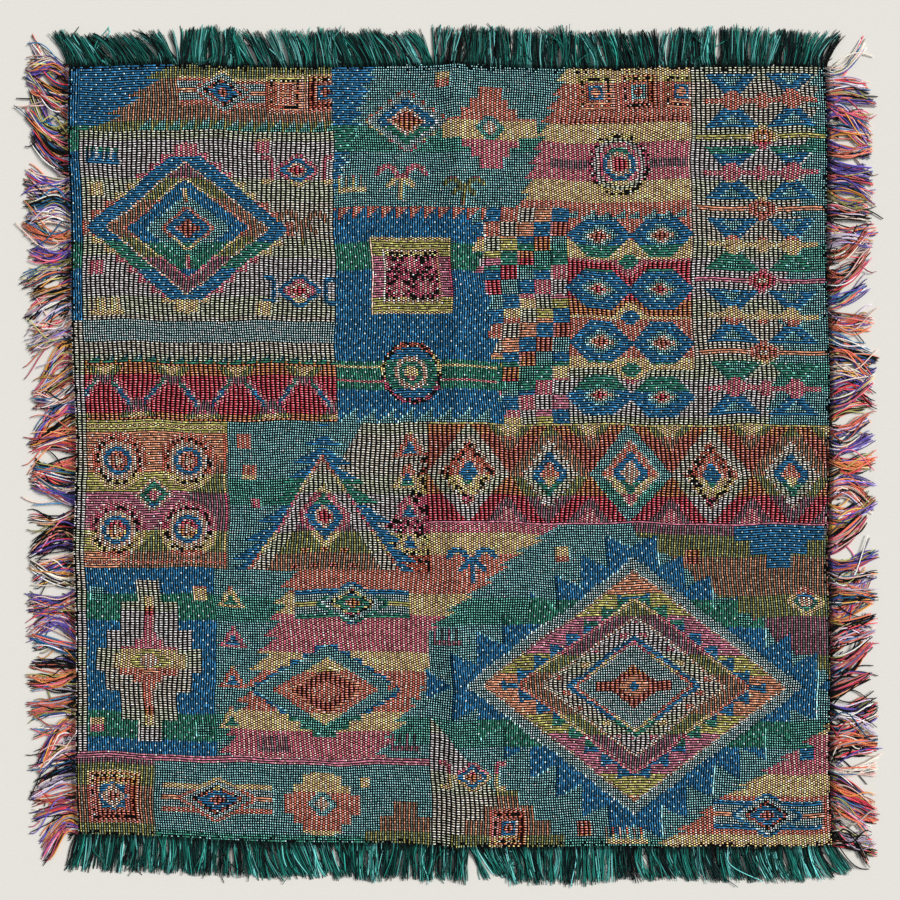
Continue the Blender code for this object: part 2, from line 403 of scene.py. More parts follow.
class MatSizes(bpy.types.PropertyGroup):
    """The sizes of the cloth and of its fringes."""

    thickness: length("Cloth thickness", "Thickness of the double cloth", 1.8 * MILLIMETRE)
    relief: length("Weave relief", "Depth of the gaps between the dashes", 0.24 * MILLIMETRE)
    roughness: length("Uneven yarn", "How far single crossings stand proud", 0.05 * MILLIMETRE)
    warp_yarn: length("Warp yarn", "Thickness of a loose warp yarn", 0.58 * MILLIMETRE)
    weft_yarn: length("Weft yarn", "Thickness of a loose weft yarn", 0.80 * MILLIMETRE)
    pile: length("Fringe height", "How high the fringe yarns lie on each other", 2.2 * MILLIMETRE)
    warp_yarns: bpy.props.IntProperty(
        name="Warp yarns", description="Yarns in the far and the near fringe", default=2250, min=1
    )
    weft_yarns: bpy.props.IntProperty(
        name="Weft yarns", description="Yarns in the left and the right fringe", default=2000, min=1
    )


def edge_bow(side, share):
    """How far an edge bows outwards: the sum of its half waves at a share of its length."""
    waves = (wave for wave in EDGE_WAVES if wave.side == side)
    return sum(wave.height * np.sin(wave.half_waves * np.pi * share) for wave in waves)


def cloth_outline(across, along):
    """A place on the cloth: its four corners blended by the shares, and bowed near each edge."""
    near_x = NEAR_LEFT.x + (NEAR_RIGHT.x - NEAR_LEFT.x) * across
    near_y = NEAR_LEFT.y + (NEAR_RIGHT.y - NEAR_LEFT.y) * across
    far_x = FAR_LEFT.x + (FAR_RIGHT.x - FAR_LEFT.x) * across
    far_y = FAR_LEFT.y + (FAR_RIGHT.y - FAR_LEFT.y) * across
    x = near_x + (far_x - near_x) * along
    y = near_y + (far_y - near_y) * along
    x = x + edge_bow("right", 1 - along) * across**4
    x = x - edge_bow("left", along) * (1 - across) ** 4
    y = y + edge_bow("far", across) * along**4
    y = y - edge_bow("near", 1 - across) * (1 - along) ** 4
    return x, y


def lift(x, y):
    """How high the underside lies: the sum of the sharp creases and the round swells."""
    height = np.zeros(np.broadcast(x, y).shape)
    for crease in CREASES:
        away = np.abs((x if crease.across == "x" else y) - crease.line) / crease.reach
        height += crease.height * np.maximum(0.0, 1 - away) ** 2
    for swell in SWELLS:
        away = np.hypot((x - swell.x) / swell.reach_x, (y - swell.y) / swell.reach_y)
        height += swell.height * np.maximum(0.0, 1 - away**2) ** 2
    return height


def ripple(moves, x, y):
    """The sum of the plane waves that stray the weave along one axis."""
    waves = (wave for wave in RIPPLES if wave.moves == moves)
    turn = 2 * np.pi
    return sum(
        wave.size * np.sin(turn * (x / wave.length_x + y / wave.length_y) + wave.start)
        for wave in waves
    )


def frame_shift():
    """From the outline's formula to the frame: the middle of its cloth's box less the formula's."""
    low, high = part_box("cloth")
    x, y = cloth_outline(*np.meshgrid(np.linspace(0, 1, 201), np.linspace(0, 1, 201)))
    shift_x = (low[0] + high[0]) / 2 - (x.min() + x.max()) / 2
    shift_y = (low[1] + high[1]) / 2 - (y.min() + y.max()) / 2
    return shift_x, shift_y


class Chart:
    """A weaver's chart: the number of the filling at each crossing of an end and a pick."""

    def __init__(self, filling):
        self.cells = np.full((PICKS, ENDS), FILLING_NUMBER[filling])
        self.end = (np.arange(ENDS) + 0.5)[None, :]
        self.pick = (np.arange(PICKS) + 0.5)[:, None]

    def paint(self, shape, filling):
        """Gives the cells of a shape a filling."""
        self.cells[np.broadcast_to(shape, self.cells.shape)] = FILLING_NUMBER[filling]

    def box(self, left, top, right, bottom):
        """From end to end and from pick to pick."""
        inside_ends = (self.end > left) & (self.end < right)
        return inside_ends & (self.pick > top) & (self.pick < bottom)

    def frame(self, x, y, half_width, half_height, thickness):
        """The border of a box: the box less a box that is smaller by the thickness."""
        outer = self.box(x - half_width, y - half_height, x + half_width, y + half_height)
        half_width -= thickness
        half_height -= thickness
        return outer & ~self.box(x - half_width, y - half_height, x + half_width, y + half_height)

    def lozenge(self, x, y, half_width, half_height, step=1):
        """Where the distances, in whole steps and as shares of the halves, add up to under 1."""
        across = np.floor(abs(self.end - x) / step) * step
        along = np.floor(abs(self.pick - y) / step) * step
        return across / half_width + along / half_height < 1

    def serrated(self, x, y, half_width, half_height, tooth, height):
        """A lozenge whose limit grows along each upright saw tooth, and drops back at its end."""
        across = abs(self.end - x)
        saw = np.mod(across, tooth) / tooth
        return across / half_width + abs(self.pick - y) / half_height < 1 + height * saw

    def disc(self, x, y, radius):
        """Nearer to its middle than the radius."""
        return np.hypot(self.end - x, self.pick - y) < radius

    def hexagon(self, x, y, half_width, half_height):
        """A box whose ends are cut to points at 45 degrees."""
        along = abs(self.pick - y)
        return (along < half_height) & (abs(self.end - x) + along < half_width)

    def triangle(self, x, tip, half_base, height):
        """Widens evenly from its tip, downwards for a height above 0 and upwards for one below."""
        share = (self.pick - tip) / height
        return (share > 0) & (share < 1) & (abs(self.end - x) < half_base * share)

    def star(self, x, y, radius):
        """An eight-pointed star: a square and a lozenge that share their middle."""
        across = abs(self.end - x)
        along = abs(self.pick - y)
        square = np.maximum(across, along) < radius * 0.72
        return square | (across + along < radius)

    def lattice(self, x, y, across, along, half_width, half_height):
        """Small lozenges in a half drop, at even distances across and along."""
        row = np.floor((self.pick - y) / along)
        share = np.mod((self.end - x) / across + 0.5 * np.mod(row, 2), 1.0) - 0.5
        drop = np.mod((self.pick - y) / along, 1.0) - 0.5
        return abs(share) * across / half_width + abs(drop) * along / half_height < 1

    def teeth(self, y, tooth, height):
        """Right-angled teeth in a row, upwards from a line for a height above 0."""
        share = np.mod(self.end, tooth) / tooth
        away = (y - self.pick) / height
        return (away > 0) & (away < share)

    def right_of(self, top_end, top, bottom_end, bottom, tooth=0, height=0):
        """The side of a slanting line that lies to its right, with saw teeth where asked."""
        slant = top_end + (bottom_end - top_end) * (self.pick - top) / (bottom - top)
        if tooth:
            slant = slant - height * np.mod(self.pick - top, tooth) / tooth
        return self.end > slant

    def zigzag(self, y, swing, repeat, thickness):
        """A band of even thickness along a triangle wave."""
        share = np.mod(self.end / repeat, 1.0)
        line = y + swing * (4 * abs(share - 0.5) - 1)
        return abs(self.pick - line) < thickness / 2


def draw_star_tile(chart, x, y, half, ground="red", star="pink", heart="blue"):
    """A square tile: a pink frame with a thin pale one in it, and a star with a heart."""
    chart.paint(chart.box(x - half, y - half, x + half, y + half), ground)
    chart.paint(chart.frame(x, y, half, half, 1.2), "pink")
    chart.paint(chart.frame(x, y, half - 2, half - 2, 1.4), "motley")
    chart.paint(chart.star(x, y, half - 3), star)
    chart.paint(chart.star(x, y, half - 4.4), heart)
    chart.paint(chart.lozenge(x, y, max(2.0, half - 6), max(2.0, half - 6)), "pale")
    chart.paint(chart.lozenge(x, y, 2, 2), ground)


def draw_roundel(chart, x, y, radius, rings):
    """Rings inside each other, from the outermost, two cells apart."""
    for turn, filling in enumerate(rings):
        if radius > 2 * turn:
            chart.paint(chart.disc(x, y, radius - 2 * turn), filling)


def draw_rings(chart, x, y, half_width, half_height, rings):
    """Lozenges inside each other, from the outermost: a filling and a share of the halves each."""
    for filling, share in rings:
        chart.paint(chart.lozenge(x, y, half_width * share, half_height * share), filling)


def draw_barred_lozenge(chart, x, y, half_width, half_height, tail, edge="pink"):
    """An eye of rings over two pale level bars, which have thin lines on both sides."""
    for side in (-1, 1):
        chart.paint(chart.box(x - tail, y + side * 3 - 1.6, x + tail, y + side * 3 + 1.6), "aqua")
        chart.paint(chart.box(x - tail, y + side * 5 - 0.6, x + tail, y + side * 5 + 0.6), edge)
    chart.paint(chart.box(x - tail, y - 0.8, x + tail, y + 0.8), "brown")
    rings = ((edge, 1.0), ("aqua", 0.84), ("motley", 0.60), ("blue", 0.44), ("red", 0.16))
    draw_rings(chart, x, y, half_width, half_height, rings)


def draw_hooked_lozenge(chart, x, y, half_width, half_height, filling="pink", heart="blue"):
    """A lozenge with a square hook at each of its corners."""
    rings = ((filling, 1.0), (heart, 0.70), ("pale", 0.40), ("red", 0.24))
    draw_rings(chart, x, y, half_width, half_height, rings)
    for side in (-1, 1):
        post = x + side * (half_width + 2)
        chart.paint(chart.box(post - 1, y - 5, post + 1, y + 5), filling)
        for turn in (-1, 1):
            hook = sorted((post, post + side * 4))
            chart.paint(chart.box(hook[0], y + turn * 5 - 1, hook[1], y + turn * 5 + 1), filling)


def draw_hourglass(chart, x, y, half_width, half_height):
    """Two triangles that meet at their tips, with a small one in each."""
    for side in (-1, 1):
        chart.paint(chart.triangle(x, y, half_width, side * half_height), "blue")
        inner = chart.triangle(x, y + side * half_height * 0.45, half_width * 0.35, side * 5)
        chart.paint(inner, "teal")
    chart.paint(chart.box(x - half_width, y - 1, x + half_width, y + 1), "pink")
    chart.paint(chart.lozenge(x, y, 5, 4), "pink")


def draw_stepped_cross(chart, x, y, half, arm):
    """A pink cross with stepped corners: a stepped lozenge over two arms, and a teal heart."""
    level, upright = half + arm, half * 0.8 + arm
    chart.paint(chart.lozenge(x, y, half, half * 0.8, 4), "pink")
    chart.paint(chart.box(x - level, y - 3, x + level, y + 3), "pink")
    chart.paint(chart.box(x - 5, y - upright, x + 5, y + upright), "pink")
    draw_rings(chart, x, y, 6, 5, (("teal", 1.0), ("pale", 0.5)))


def draw_horns(chart, x, y, radius, filling="pink"):
    """A pair of ram's horns on one stem: two hooked rings that turn away from each other."""
    for side in (-1, 1):
        middle = x + side * (radius + 1)
        ring = chart.disc(middle, y, radius) & ~chart.disc(middle, y, radius - 2.2)
        ring &= ~((side * (chart.end - middle) > 0) & (chart.pick > y))
        chart.paint(ring, filling)
    chart.paint(chart.box(x - 1.5, y - 1, x + 1.5, y + radius * 2), filling)


def draw_comb(chart, x, y, teeth, filling="pink"):
    """A comb: a level back with short upright teeth, three cells apart."""
    half = 1.5 * teeth
    chart.paint(chart.box(x - half, y, x + half, y + 2), filling)
    upright = np.mod(chart.end - x + half, 3) < 1.5
    chart.paint(upright & chart.box(x - half, y - 5, x + half, y), filling)


def draw_steps(chart, x, base, widths, rise, filling):
    """A stepped mound on its base, one block for each width, upwards for a rise above 0."""
    for turn, half in enumerate(widths):
        low, high = sorted((base, base - rise * (turn + 1)))
        chart.paint(chart.box(x - half, low, x + half, high), filling)


def draw_medallion(chart, x, y, half_width, half_height):
    """The great lozenge: rings of lozenges, two with saw teeth outside them, and a red heart."""

    def size(share):
        return half_width * share, half_height * share

    outer = (("aqua", 0.84), ("pale", 0.76), ("brown", 0.745))
    middle = (("pink", 0.58), ("brown_net", 0.55), ("pale", 0.46), ("ash", 0.44))
    inner = (("blue", 0.33), ("pink", 0.295), ("aqua", 0.27))
    chart.paint(chart.serrated(x, y, *size(0.92), 11, 0.24), "blue_cord")
    draw_rings(chart, x, y, half_width, half_height, outer)
    chart.paint(chart.serrated(x, y, *size(0.59), 7, 0.18), "blue")
    draw_rings(chart, x, y, half_width, half_height, middle)
    ring = chart.lozenge(x, y, *size(0.42)) & ~chart.lozenge(x, y, *size(0.35))
    chart.paint(ring & chart.lattice(x, y, 8, 6, 2.2, 1.8), "pink")
    draw_rings(chart, x, y, half_width, half_height, inner)
    chart.paint(chart.box(x - half_width * 0.19, y - 2, x + half_width * 0.19, y + 2), "red")
    draw_rings(chart, x, y, half_width, half_height, (("red", 0.13), ("brown", 0.07)))
    chart.paint(chart.lozenge(x, y, 2, 2), "blue")


def draw_far_left(chart):
    """Brown ground with a barred lozenge and tiles beside a blue corner with saw teeth."""
    area = chart.box(0, 0, 112, 28)
    chart.paint(area, "brown_net")
    chart.paint(area & ~chart.right_of(48, 0, 16, 28, 7, 7), "blue")
    draw_barred_lozenge(chart, 66, 12, 12, 9, 19)
    for step, star in enumerate(("pink", "blue")):
        draw_star_tile(chart, 92 + 17 * step, 12, 8, "red" if step else "brown", "pink", star)
    chart.paint(chart.box(30, 22, 112, 28) & chart.teeth(28, 6, 5), "teal")


def draw_grey_field(chart):
    """Grey ground with a great serrated lozenge between small figures."""
    chart.paint(chart.box(0, 28, 112, 108), "ash")
    chart.paint(chart.serrated(50, 69, 43, 35, 5, 0.12), "pink")
    rings = (
        ("blue", 1.0),
        ("pale", 0.80),
        ("brown_net", 0.77),
        ("pink", 0.62),
        ("blue_cord", 0.58),
        ("teal", 0.40),
        ("pink", 0.26),
        ("blue", 0.21),
        ("red", 0.10),
    )
    draw_rings(chart, 50, 69, 42, 34, rings)
    for side in (-1, 1):
        chart.paint(chart.box(49, 69 - side * 14 - 3, 51, 69 - side * 14 + 3), "pink")
        chart.paint(chart.triangle(50, 69 + side * 37, 6, side * -7), "pink")
    draw_hooked_lozenge(chart, 97, 44, 9, 7)
    draw_hooked_lozenge(chart, 97, 95, 9, 7, "blue", "pink")
    draw_comb(chart, 16, 40, 5, "blue")
    draw_comb(chart, 16, 104, 5)
    draw_horns(chart, 99, 66, 5, "brown_net")
    for x, y in ((12, 53), (12, 86), (82, 34), (82, 103)):
        chart.paint(chart.star(x, y, 3.5), "pink")


def draw_stripes(chart):
    """Level stripes over a red ground with a pink zigzag and half lozenges."""
    chart.paint(chart.box(0, 108, 112, 117), "aqua")
    chart.paint(chart.box(0, 117, 112, 125), "ash")
    band = chart.box(0, 125, 112, 150)
    chart.paint(band, "red")
    chart.paint(chart.zigzag(138, 9, 28, 6) & band, "pink")
    chart.paint(chart.zigzag(138, 9, 28, 2.4) & band, "blue")
    for step in range(5):
        for x, side in ((28 * step, 1), (14 + 28 * step, -1)):
            chart.paint(chart.triangle(x, 138 + side * 2, 8, side * 9) & band, "brown_net")
            chart.paint(chart.triangle(x, 138 + side * 6, 4, side * 5) & band, "pink")
    chart.paint(chart.box(0, 123, 112, 126) & chart.teeth(126, 6, 3), "blue")


def draw_far_middle(chart):
    """Teal ground with a stepped cross and horns, and a pink ground with tiles beside it."""
    chart.paint(chart.box(112, 0, 206, 60), "teal")
    chart.paint(chart.box(112, 0, 132, 60) & ~chart.right_of(132, 0, 112, 60, 5, 4), "blue")
    draw_stepped_cross(chart, 178, 27, 17, 3)
    chart.paint(chart.serrated(143, 24, 17, 13, 4, 0.14), "pink")
    rings = (("aqua", 0.88), ("blue", 0.66), ("pale", 0.40), ("red", 0.28))
    draw_rings(chart, 143, 24, 18, 14, rings)
    draw_horns(chart, 140, 47, 5)
    draw_horns(chart, 166, 51, 4, "brown_net")
    draw_comb(chart, 120, 52, 4)
    chart.paint(chart.star(158, 7, 4), "pink")
    pink = chart.box(186, 0, 262, 60) & chart.right_of(212, 0, 192, 60, 6, 5)
    chart.paint(pink, "pink")
    for step in range(3):
        ground = ("brown", "red", "brown")[step]
        draw_star_tile(chart, 222 + 18 * step, 11, 8, ground, "pink", ("blue", "teal")[step % 2])
    chart.paint(chart.box(206, 21, 262, 24) & chart.teeth(24, 5, 4), "red")
    for left in (203, 243):
        chart.paint(chart.box(left, 39.4, left + 18, 42.6), "brown_net")
    draw_roundel(chart, 232, 41, 13, ("motley", "ash", "pink", "blue", "pale", "red"))


def draw_hourglasses(chart):
    """Grey ground, and a column of hourglasses with pink bars and stars between them."""
    area = chart.box(262, 0, 320, 150)
    chart.paint(area, "ash")
    chart.paint(area & chart.right_of(318, 0, 296, 150, 9, 5), "teal")
    for step in range(5):
        middle = 15 + 30 * step
        draw_hourglass(chart, 279, middle, 12, 11)
        draw_hourglass(chart, 304, middle, 11, 11)
        chart.paint(chart.star(291.5, middle, 4), "pink")
        if step < 4:
            chart.paint(chart.box(264, middle + 13.6, 318, middle + 16.4), "brown")
            draw_rings(chart, 291.5, middle + 15, 7, 5, (("pink", 1.0), ("red", 0.7), ("pale", 0.3)))


def draw_blue_panel(chart):
    """A blue panel with upright ribs, a framed tile and a roundel on level bars."""
    chart.paint(chart.box(112, 60, 196, 150) & ~chart.right_of(172, 60, 186, 150, 9, 5), "blue_cord")
    chart.paint(chart.box(112, 60, 176, 65) & ~chart.teeth(65, 6, 5), "pink")
    tile = chart.box(127, 73, 161, 105)
    chart.paint(tile, "brown")
    chart.paint(chart.frame(144, 89, 17, 16, 1.2), "pink")
    chart.paint(chart.frame(144, 89, 12.4, 11.4, 1.4), "pale")
    chart.paint(chart.box(133, 79, 155, 99), "motley")
    chart.paint(chart.lattice(144, 89, 11, 10, 4, 3.6) & chart.box(133, 79, 155, 99), "pink")
    for line in (126, 132):
        chart.paint(chart.box(112, line, 180, line + 1.4), "pink")
    draw_roundel(chart, 144, 129.6, 13, ("motley", "blue", "blue", "pale", "blue", "pink"))
    chart.paint(chart.box(112, 144, 176, 150) & chart.teeth(150, 8, 6), "teal")


def draw_blocks(chart):
    """Blocks that climb in diagonal steps, in seven fillings in turn."""
    area = chart.box(166, 60, 210, 150)
    steps = np.floor(chart.end / 7) + np.floor(chart.pick / 6)
    turns = ("blue", "pink", "ash", "brown", "blue", "red", "teal")
    for turn, filling in enumerate(turns):
        chart.paint(area & (np.mod(steps, 7) == turn), filling)


def draw_hexagons(chart):
    """Two columns of hexagons with eyes, on pink and red grounds with lozenges where they meet."""
    for step in range(4):
        middle = 71 + 22.5 * step
        ground = ("pink", "red", "pink", "ash")[step]
        chart.paint(chart.box(210, middle - 11.3, 262, middle + 11.3), ground)
        for x in (223, 249):
            chart.paint(chart.hexagon(x, middle, 13.6, 8.6), "blue")
            draw_rings(chart, x, middle, 7, 5, (("teal", 1.0), ("pale", 0.6), ("red", 0.3)))
    for step in range(3):
        draw_rings(chart, 236, 82.3 + 22.5 * step, 7, 6, (("pink", 1.0), ("blue", 0.5)))
    chart.paint(chart.box(210, 60, 262, 64) & chart.teeth(64, 6.5, 4), "teal")


def draw_red_band(chart):
    """A red band with lozenges, each with its own heart, between pink and brown triangles."""
    band = chart.box(150, 150, 320, 192)
    chart.paint(band, "red")
    hearts = (
        ("ash", "motley", "pink", "blue"),
        ("brown_net", "ash", "blue", "pink"),
        ("teal", "pink", "blue", "pale"),
    )
    for step in range(5):
        middle = 167 + 34 * step
        outer, ring, inner, centre = hearts[step % 3]
        rings = ((outer, 1.0), ("pale", 0.68), (ring, 0.62), (inner, 0.42), (centre, 0.22))
        draw_rings(chart, middle, 171, 16.4, 20, rings)
        for side in (-1, 1):
            edge = middle + 17
            chart.paint(chart.triangle(edge, 171 + side * 9, 9, side * 11) & band, "brown_net")
            chart.paint(chart.triangle(edge, 171 + side * 13, 5, side * 7) & band, "pink")
    for line in (150, 190.6):
        chart.paint(chart.box(150, line, 320, line + 1.4), "brown")


def draw_four_stars(chart):
    """A dark square with four stars in rings round a small lozenge, in a pale frame."""
    area = chart.box(0, 150, 66, 212)
    chart.paint(area, "brown")
    chart.paint(area & chart.right_of(78, 150, 20, 212), "brown_net")
    for x in (19, 49):
        for y in (167, 196):
            draw_roundel(chart, x, y, 12, ("pink", "motley", "pale", "blue", "pink"))
            chart.paint(chart.star(x, y, 3.5), "red")
            chart.paint(chart.lozenge(x, y, 2, 2), "pale")
    draw_rings(chart, 34, 181.5, 8, 7, (("pale", 1.0), ("blue", 0.72), ("pink", 0.36)))
    chart.paint(chart.frame(34, 181, 31, 29, 1.4), "pink")


def draw_pyramids(chart):
    """Teal and grey ground with a great pyramid whose sides carry blue teeth."""
    area = chart.box(66, 150, 150, 212)
    chart.paint(area, "teal")
    chart.paint(area & chart.right_of(122, 150, 92, 212), "ash")
    chart.paint(area & chart.right_of(156, 158, 128, 212, 9, 6), "motley")
    for filling, widen in (("blue", 0.0), ("pink", -7.0), ("ash", -8.6), ("brown_net", -15.0)):
        reach = (chart.pick - 153) * 0.66 + widen
        if filling == "blue":
            reach = reach + np.mod(chart.pick, 8) - 5
        chart.paint(area & (abs(chart.end - 106) < reach), filling)
    chart.paint(area & chart.lattice(106, 207, 8, 7, 2.4, 2.2) & chart.box(92, 203, 120, 211), "red")
    draw_rings(chart, 106, 190, 11, 13, (("pink", 1.0), ("blue", 0.70), ("pale", 0.36), ("red", 0.2)))
    for step in range(4):
        chart.paint(chart.triangle(142, 153 + 13 * step, 7, 11), "pink")
        chart.paint(chart.triangle(142, 157 + 13 * step, 3, 6), "blue")
    for step in range(3):
        chart.paint(chart.star(73 + 2 * step, 158 + 13 * step, 4 - step * 0.5), "pink")


def draw_cross_panel(chart):
    """A blue panel with upright ribs and a grey stepped figure with a pink spine."""
    chart.paint(chart.box(0, 212, 60, 290), "blue_cord")
    for half, reach in ((5, 34), (12, 25), (18, 13), (22, 5)):
        chart.paint(chart.box(32 - half, 251 - reach, 32 + half, 251 + reach), "ash")
    chart.paint(chart.box(30, 224, 34, 278), "pink")
    chart.paint(chart.lozenge(32, 251, 14, 10, 3), "pink")
    chart.paint(chart.lozenge(32, 251, 8, 6), "brown")
    chart.paint(chart.lozenge(32, 251, 4, 3), "pale")
    for side in (-1, 1):
        chart.paint(chart.star(32, 251 + side * 21, 3), "red")
        for x, filling in ((22, "pink"), (-22, "teal")):
            chart.paint(chart.star(32 + side * x, 251 - side * 28, 4), filling)


def draw_pink_wedge(chart):
    """Pink ground that slants across teal, with serrated lozenges and small triangles."""
    area = chart.box(60, 212, 150, 290)
    chart.paint(area, "teal")
    wedge = area & chart.right_of(96, 212, 66, 290, 7, 6)
    wedge &= ~chart.right_of(176, 212, 132, 290, 7, 6)
    chart.paint(wedge, "pink")
    draw_barred_lozenge(chart, 118, 226, 15, 9, 24, "blue")
    chart.paint(chart.serrated(106, 262, 31, 19, 5, 0.14), "blue")
    rings = (("teal", 0.92), ("pink", 0.66), ("brown", 0.48), ("red", 0.42), ("pink", 0.20))
    draw_rings(chart, 106, 262, 32, 20, rings)
    for step in range(4):
        chart.paint(chart.triangle(67, 218 + 17 * step, 6, 10), "pink")
        chart.paint(chart.triangle(67, 222 + 17 * step, 3, 5), "blue")
    draw_horns(chart, 141, 262, 4)
    draw_comb(chart, 140, 285, 4, "brown_net")
    draw_comb(chart, 84, 286, 5, "brown_net")


def draw_near_left(chart):
    """A teal border with tiles, a barred lozenge, a stepped cross and a brown mound."""
    chart.paint(chart.box(0, 290, 150, 326), "teal")
    chart.paint(chart.box(0, 290, 150, 293), "brown")
    chart.paint(chart.box(0, 293, 34, 326), "brown_net")
    draw_star_tile(chart, 17, 309, 11)
    draw_barred_lozenge(chart, 60, 308, 16, 9, 23)
    draw_stepped_cross(chart, 104, 309, 14, 2)
    draw_steps(chart, 139, 326, (17, 11, 5), 6, "brown_net")
    chart.paint(chart.box(34, 320, 124, 326) & chart.teeth(326, 6, 4), "blue")
    chart.paint(chart.star(122, 300, 3), "pink")


def draw_near_right(chart):
    """Teal, brown, pink and grey grounds behind the great medallion, with figures in corners."""
    area = chart.box(150, 192, 320, 326)
    chart.paint(area, "teal")
    brown = area & chart.right_of(236, 192, 330, 262, 6, 5)
    chart.paint(brown, "brown_net")
    chart.paint(area & chart.right_of(346, 258, 246, 326, 6, 5), "pink")
    chart.paint(area & ~chart.right_of(120, 240, 200, 326), "ash")
    chart.paint(area & ~chart.right_of(206, 192, 150, 238, 6, 5), "pink")
    draw_medallion(chart, 236, 259, 84, 62)
    draw_barred_lozenge(chart, 292, 312, 15, 9, 23, "blue")
    draw_steps(chart, 182, 326, (24, 18, 11, 5), 6, "brown_net")
    draw_star_tile(chart, 182, 317, 8)
    draw_steps(chart, 298, 192, (19, 12, 5), -6, "blue")
    draw_horns(chart, 168, 207, 5, "blue")
    draw_hooked_lozenge(chart, 168, 296, 8, 6)
    draw_comb(chart, 232, 322, 6)
    draw_comb(chart, 158, 240, 4, "brown_net")
    for x, y, filling in ((206, 204, "pink"), (262, 205, "red"), (309, 286, "blue"), (214, 318, "red")):
        chart.paint(chart.star(x, y, 4), filling)
    draw_rings(chart, 309, 224, 8, 6, (("pink", 1.0), ("blue", 0.6), ("pale", 0.3)))


def draw_edges(chart, draws):
    """The blue upright ribs at the left edge, and the dark stay stitches round the cloth."""
    chart.paint(chart.box(1, 1, 6, 108), "blue_cord")
    chart.paint(chart.box(1, 108, 6, 290), "ash")
    for inset, share in ((0.0, 0.85), (1.0, 0.30), (2.0, 0.10)):
        ring = chart.frame(ENDS / 2, PICKS / 2, ENDS / 2 - inset, PICKS / 2 - inset, 1)
        chart.paint(ring & (draws.uniform(0, 1, ring.shape) < share), "black")


def draw_chart(draws):
    """A patchwork of kilim figures: a patch may cover part of one that is drawn before it."""
    chart = Chart("teal")
    patches = (
        draw_far_left,
        draw_grey_field,
        draw_stripes,
        draw_far_middle,
        draw_hourglasses,
        draw_blocks,
        draw_blue_panel,
        draw_hexagons,
        draw_red_band,
        draw_four_stars,
        draw_pyramids,
        draw_cross_panel,
        draw_pink_wedge,
        draw_near_left,
        draw_near_right,
    )
    for draw_patch in patches:
        draw_patch(chart)
    draw_edges(chart, draws)
    return chart.cells


def weft_bands():
    """The warm band of each pick, and whether it is a green row, from its share of the repeat."""
    phase = np.mod((np.arange(PICKS) + 0.5 - BAND_START) / BAND_REPEAT, 1.0)
    band = np.where(phase < 0.43, ROSE, CORAL)
    for place in STRAW_PLACES:
        away = abs(np.mod(phase - place + 0.5, 1.0) - 0.5)
        band[away < STRAW_HALF] = STRAW
    green = np.minimum(phase, 1 - phase) < GREEN_HALF
    return band, green.astype(int)


def filling_colours(dyes):
    """Four tables of colour by filling, warm band and green row: yarn, mate, speck and ground."""
    tables = np.zeros((4, len(FILLINGS), 3, 2, 3))
    for number, filling in enumerate(FILLINGS):
        for band, yarn in enumerate((filling.rose, filling.straw, filling.coral)):
            for green in (0, 1):
                shown = filling.green if green and filling.green else yarn
                names = (shown, filling.mate or shown, filling.speck or shown, filling.ground)
                for part, name in enumerate(names):
                    tables[part, number, band, green] = getattr(dyes, name)
        tables[1, number] += filling.tint * (tables[0, number] - tables[1, number])
    return tables


def cell_colours(cells, dyes, draws):
    """The colour of each cell's yarn and of the ground behind it, and where the specks are.

    Even ends show the yarn and odd ends its mate, or either at random where they are motley.
    Specks lie on every other pick in a half drop, and each cell is a little lighter or darker than
    its neighbours.
    """
    band, green = weft_bands()
    yarn, mate, speck, ground = filling_colours(dyes)
    place = (cells, band[:, None], green[:, None])
    pick = np.arange(PICKS)[:, None]
    end = np.arange(ENDS)[None, :]
    drop = (pick // SPECK_PICKS % 2) * (SPECK_ENDS // 2)
    is_speck = (pick % SPECK_PICKS == 0) & ((end + drop) % SPECK_ENDS == 0)
    mixed = draws.uniform(0, 1, cells.shape) < MOTLEY_SHARE
    is_mate = np.where(cells == FILLING_NUMBER["motley"], mixed, end % 2 == 1)
    shown = np.where(is_mate[..., None], mate[place], yarn[place])
    shown = np.where(is_speck[..., None], speck[place], shown)
    shown = shown * np.exp(draws.normal(CELL_SHADE, CELL_SHADE_SPREAD, (PICKS, ENDS, 1)))
    has_speck = np.array([bool(filling.speck) for filling in FILLINGS])
    return np.clip(shown, 0, 1), ground[place], is_speck & has_speck[cells]


def weave_table(column):
    """One column of the weaves' table, with a row for each filling."""
    weaves = {weave.name: weave for weave in WEAVES}
    return np.array([getattr(weaves[filling.weave], column) for filling in FILLINGS], float)


def grid_faces(rows, columns, first, underside):
    """The corners of a grid's faces, counted row by row from its first vertex."""
    corner = np.arange(rows)[:, None] * (columns + 1) + np.arange(columns)[None, :] + first
    corner = corner.ravel()
    around = (corner, corner + 1, corner + columns + 2, corner + columns + 1)
    return np.stack(around[::-1] if underside else around, axis=1)


def grid_rim(rows, columns, first):
    """The vertices round a grid, from its near left corner towards the right."""
    numbers = np.arange((rows + 1) * (columns + 1)).reshape(rows + 1, columns + 1) + first
    near, far = numbers[0, :-1], numbers[-1, :0:-1]
    right, left = numbers[:-1, -1], numbers[:0:-1, 0]
    return np.concatenate((near, right, far, left))


def new_mesh(name, points, face_groups):
    """A mesh from its points and from arrays of face corners, one array for each count of sides."""
    corners = np.concatenate([group.ravel() for group in face_groups])
    sides = np.concatenate([np.full(len(group), group.shape[1]) for group in face_groups])
    starts = np.cumsum(sides) - sides
    mesh = bpy.data.meshes.new(name)
    mesh.vertices.add(len(points))
    mesh.vertices.foreach_set("co", points.astype(np.float32).ravel())
    mesh.loops.add(len(corners))
    mesh.loops.foreach_set("vertex_index", corners.astype(np.int32))
    mesh.polygons.add(len(sides))
    mesh.polygons.foreach_set("loop_start", starts.astype(np.int32))
    mesh.update(calc_edges=True)
    if mesh.validate():
        raise RuntimeError(f"{name} has faces that aren't valid")
    return mesh


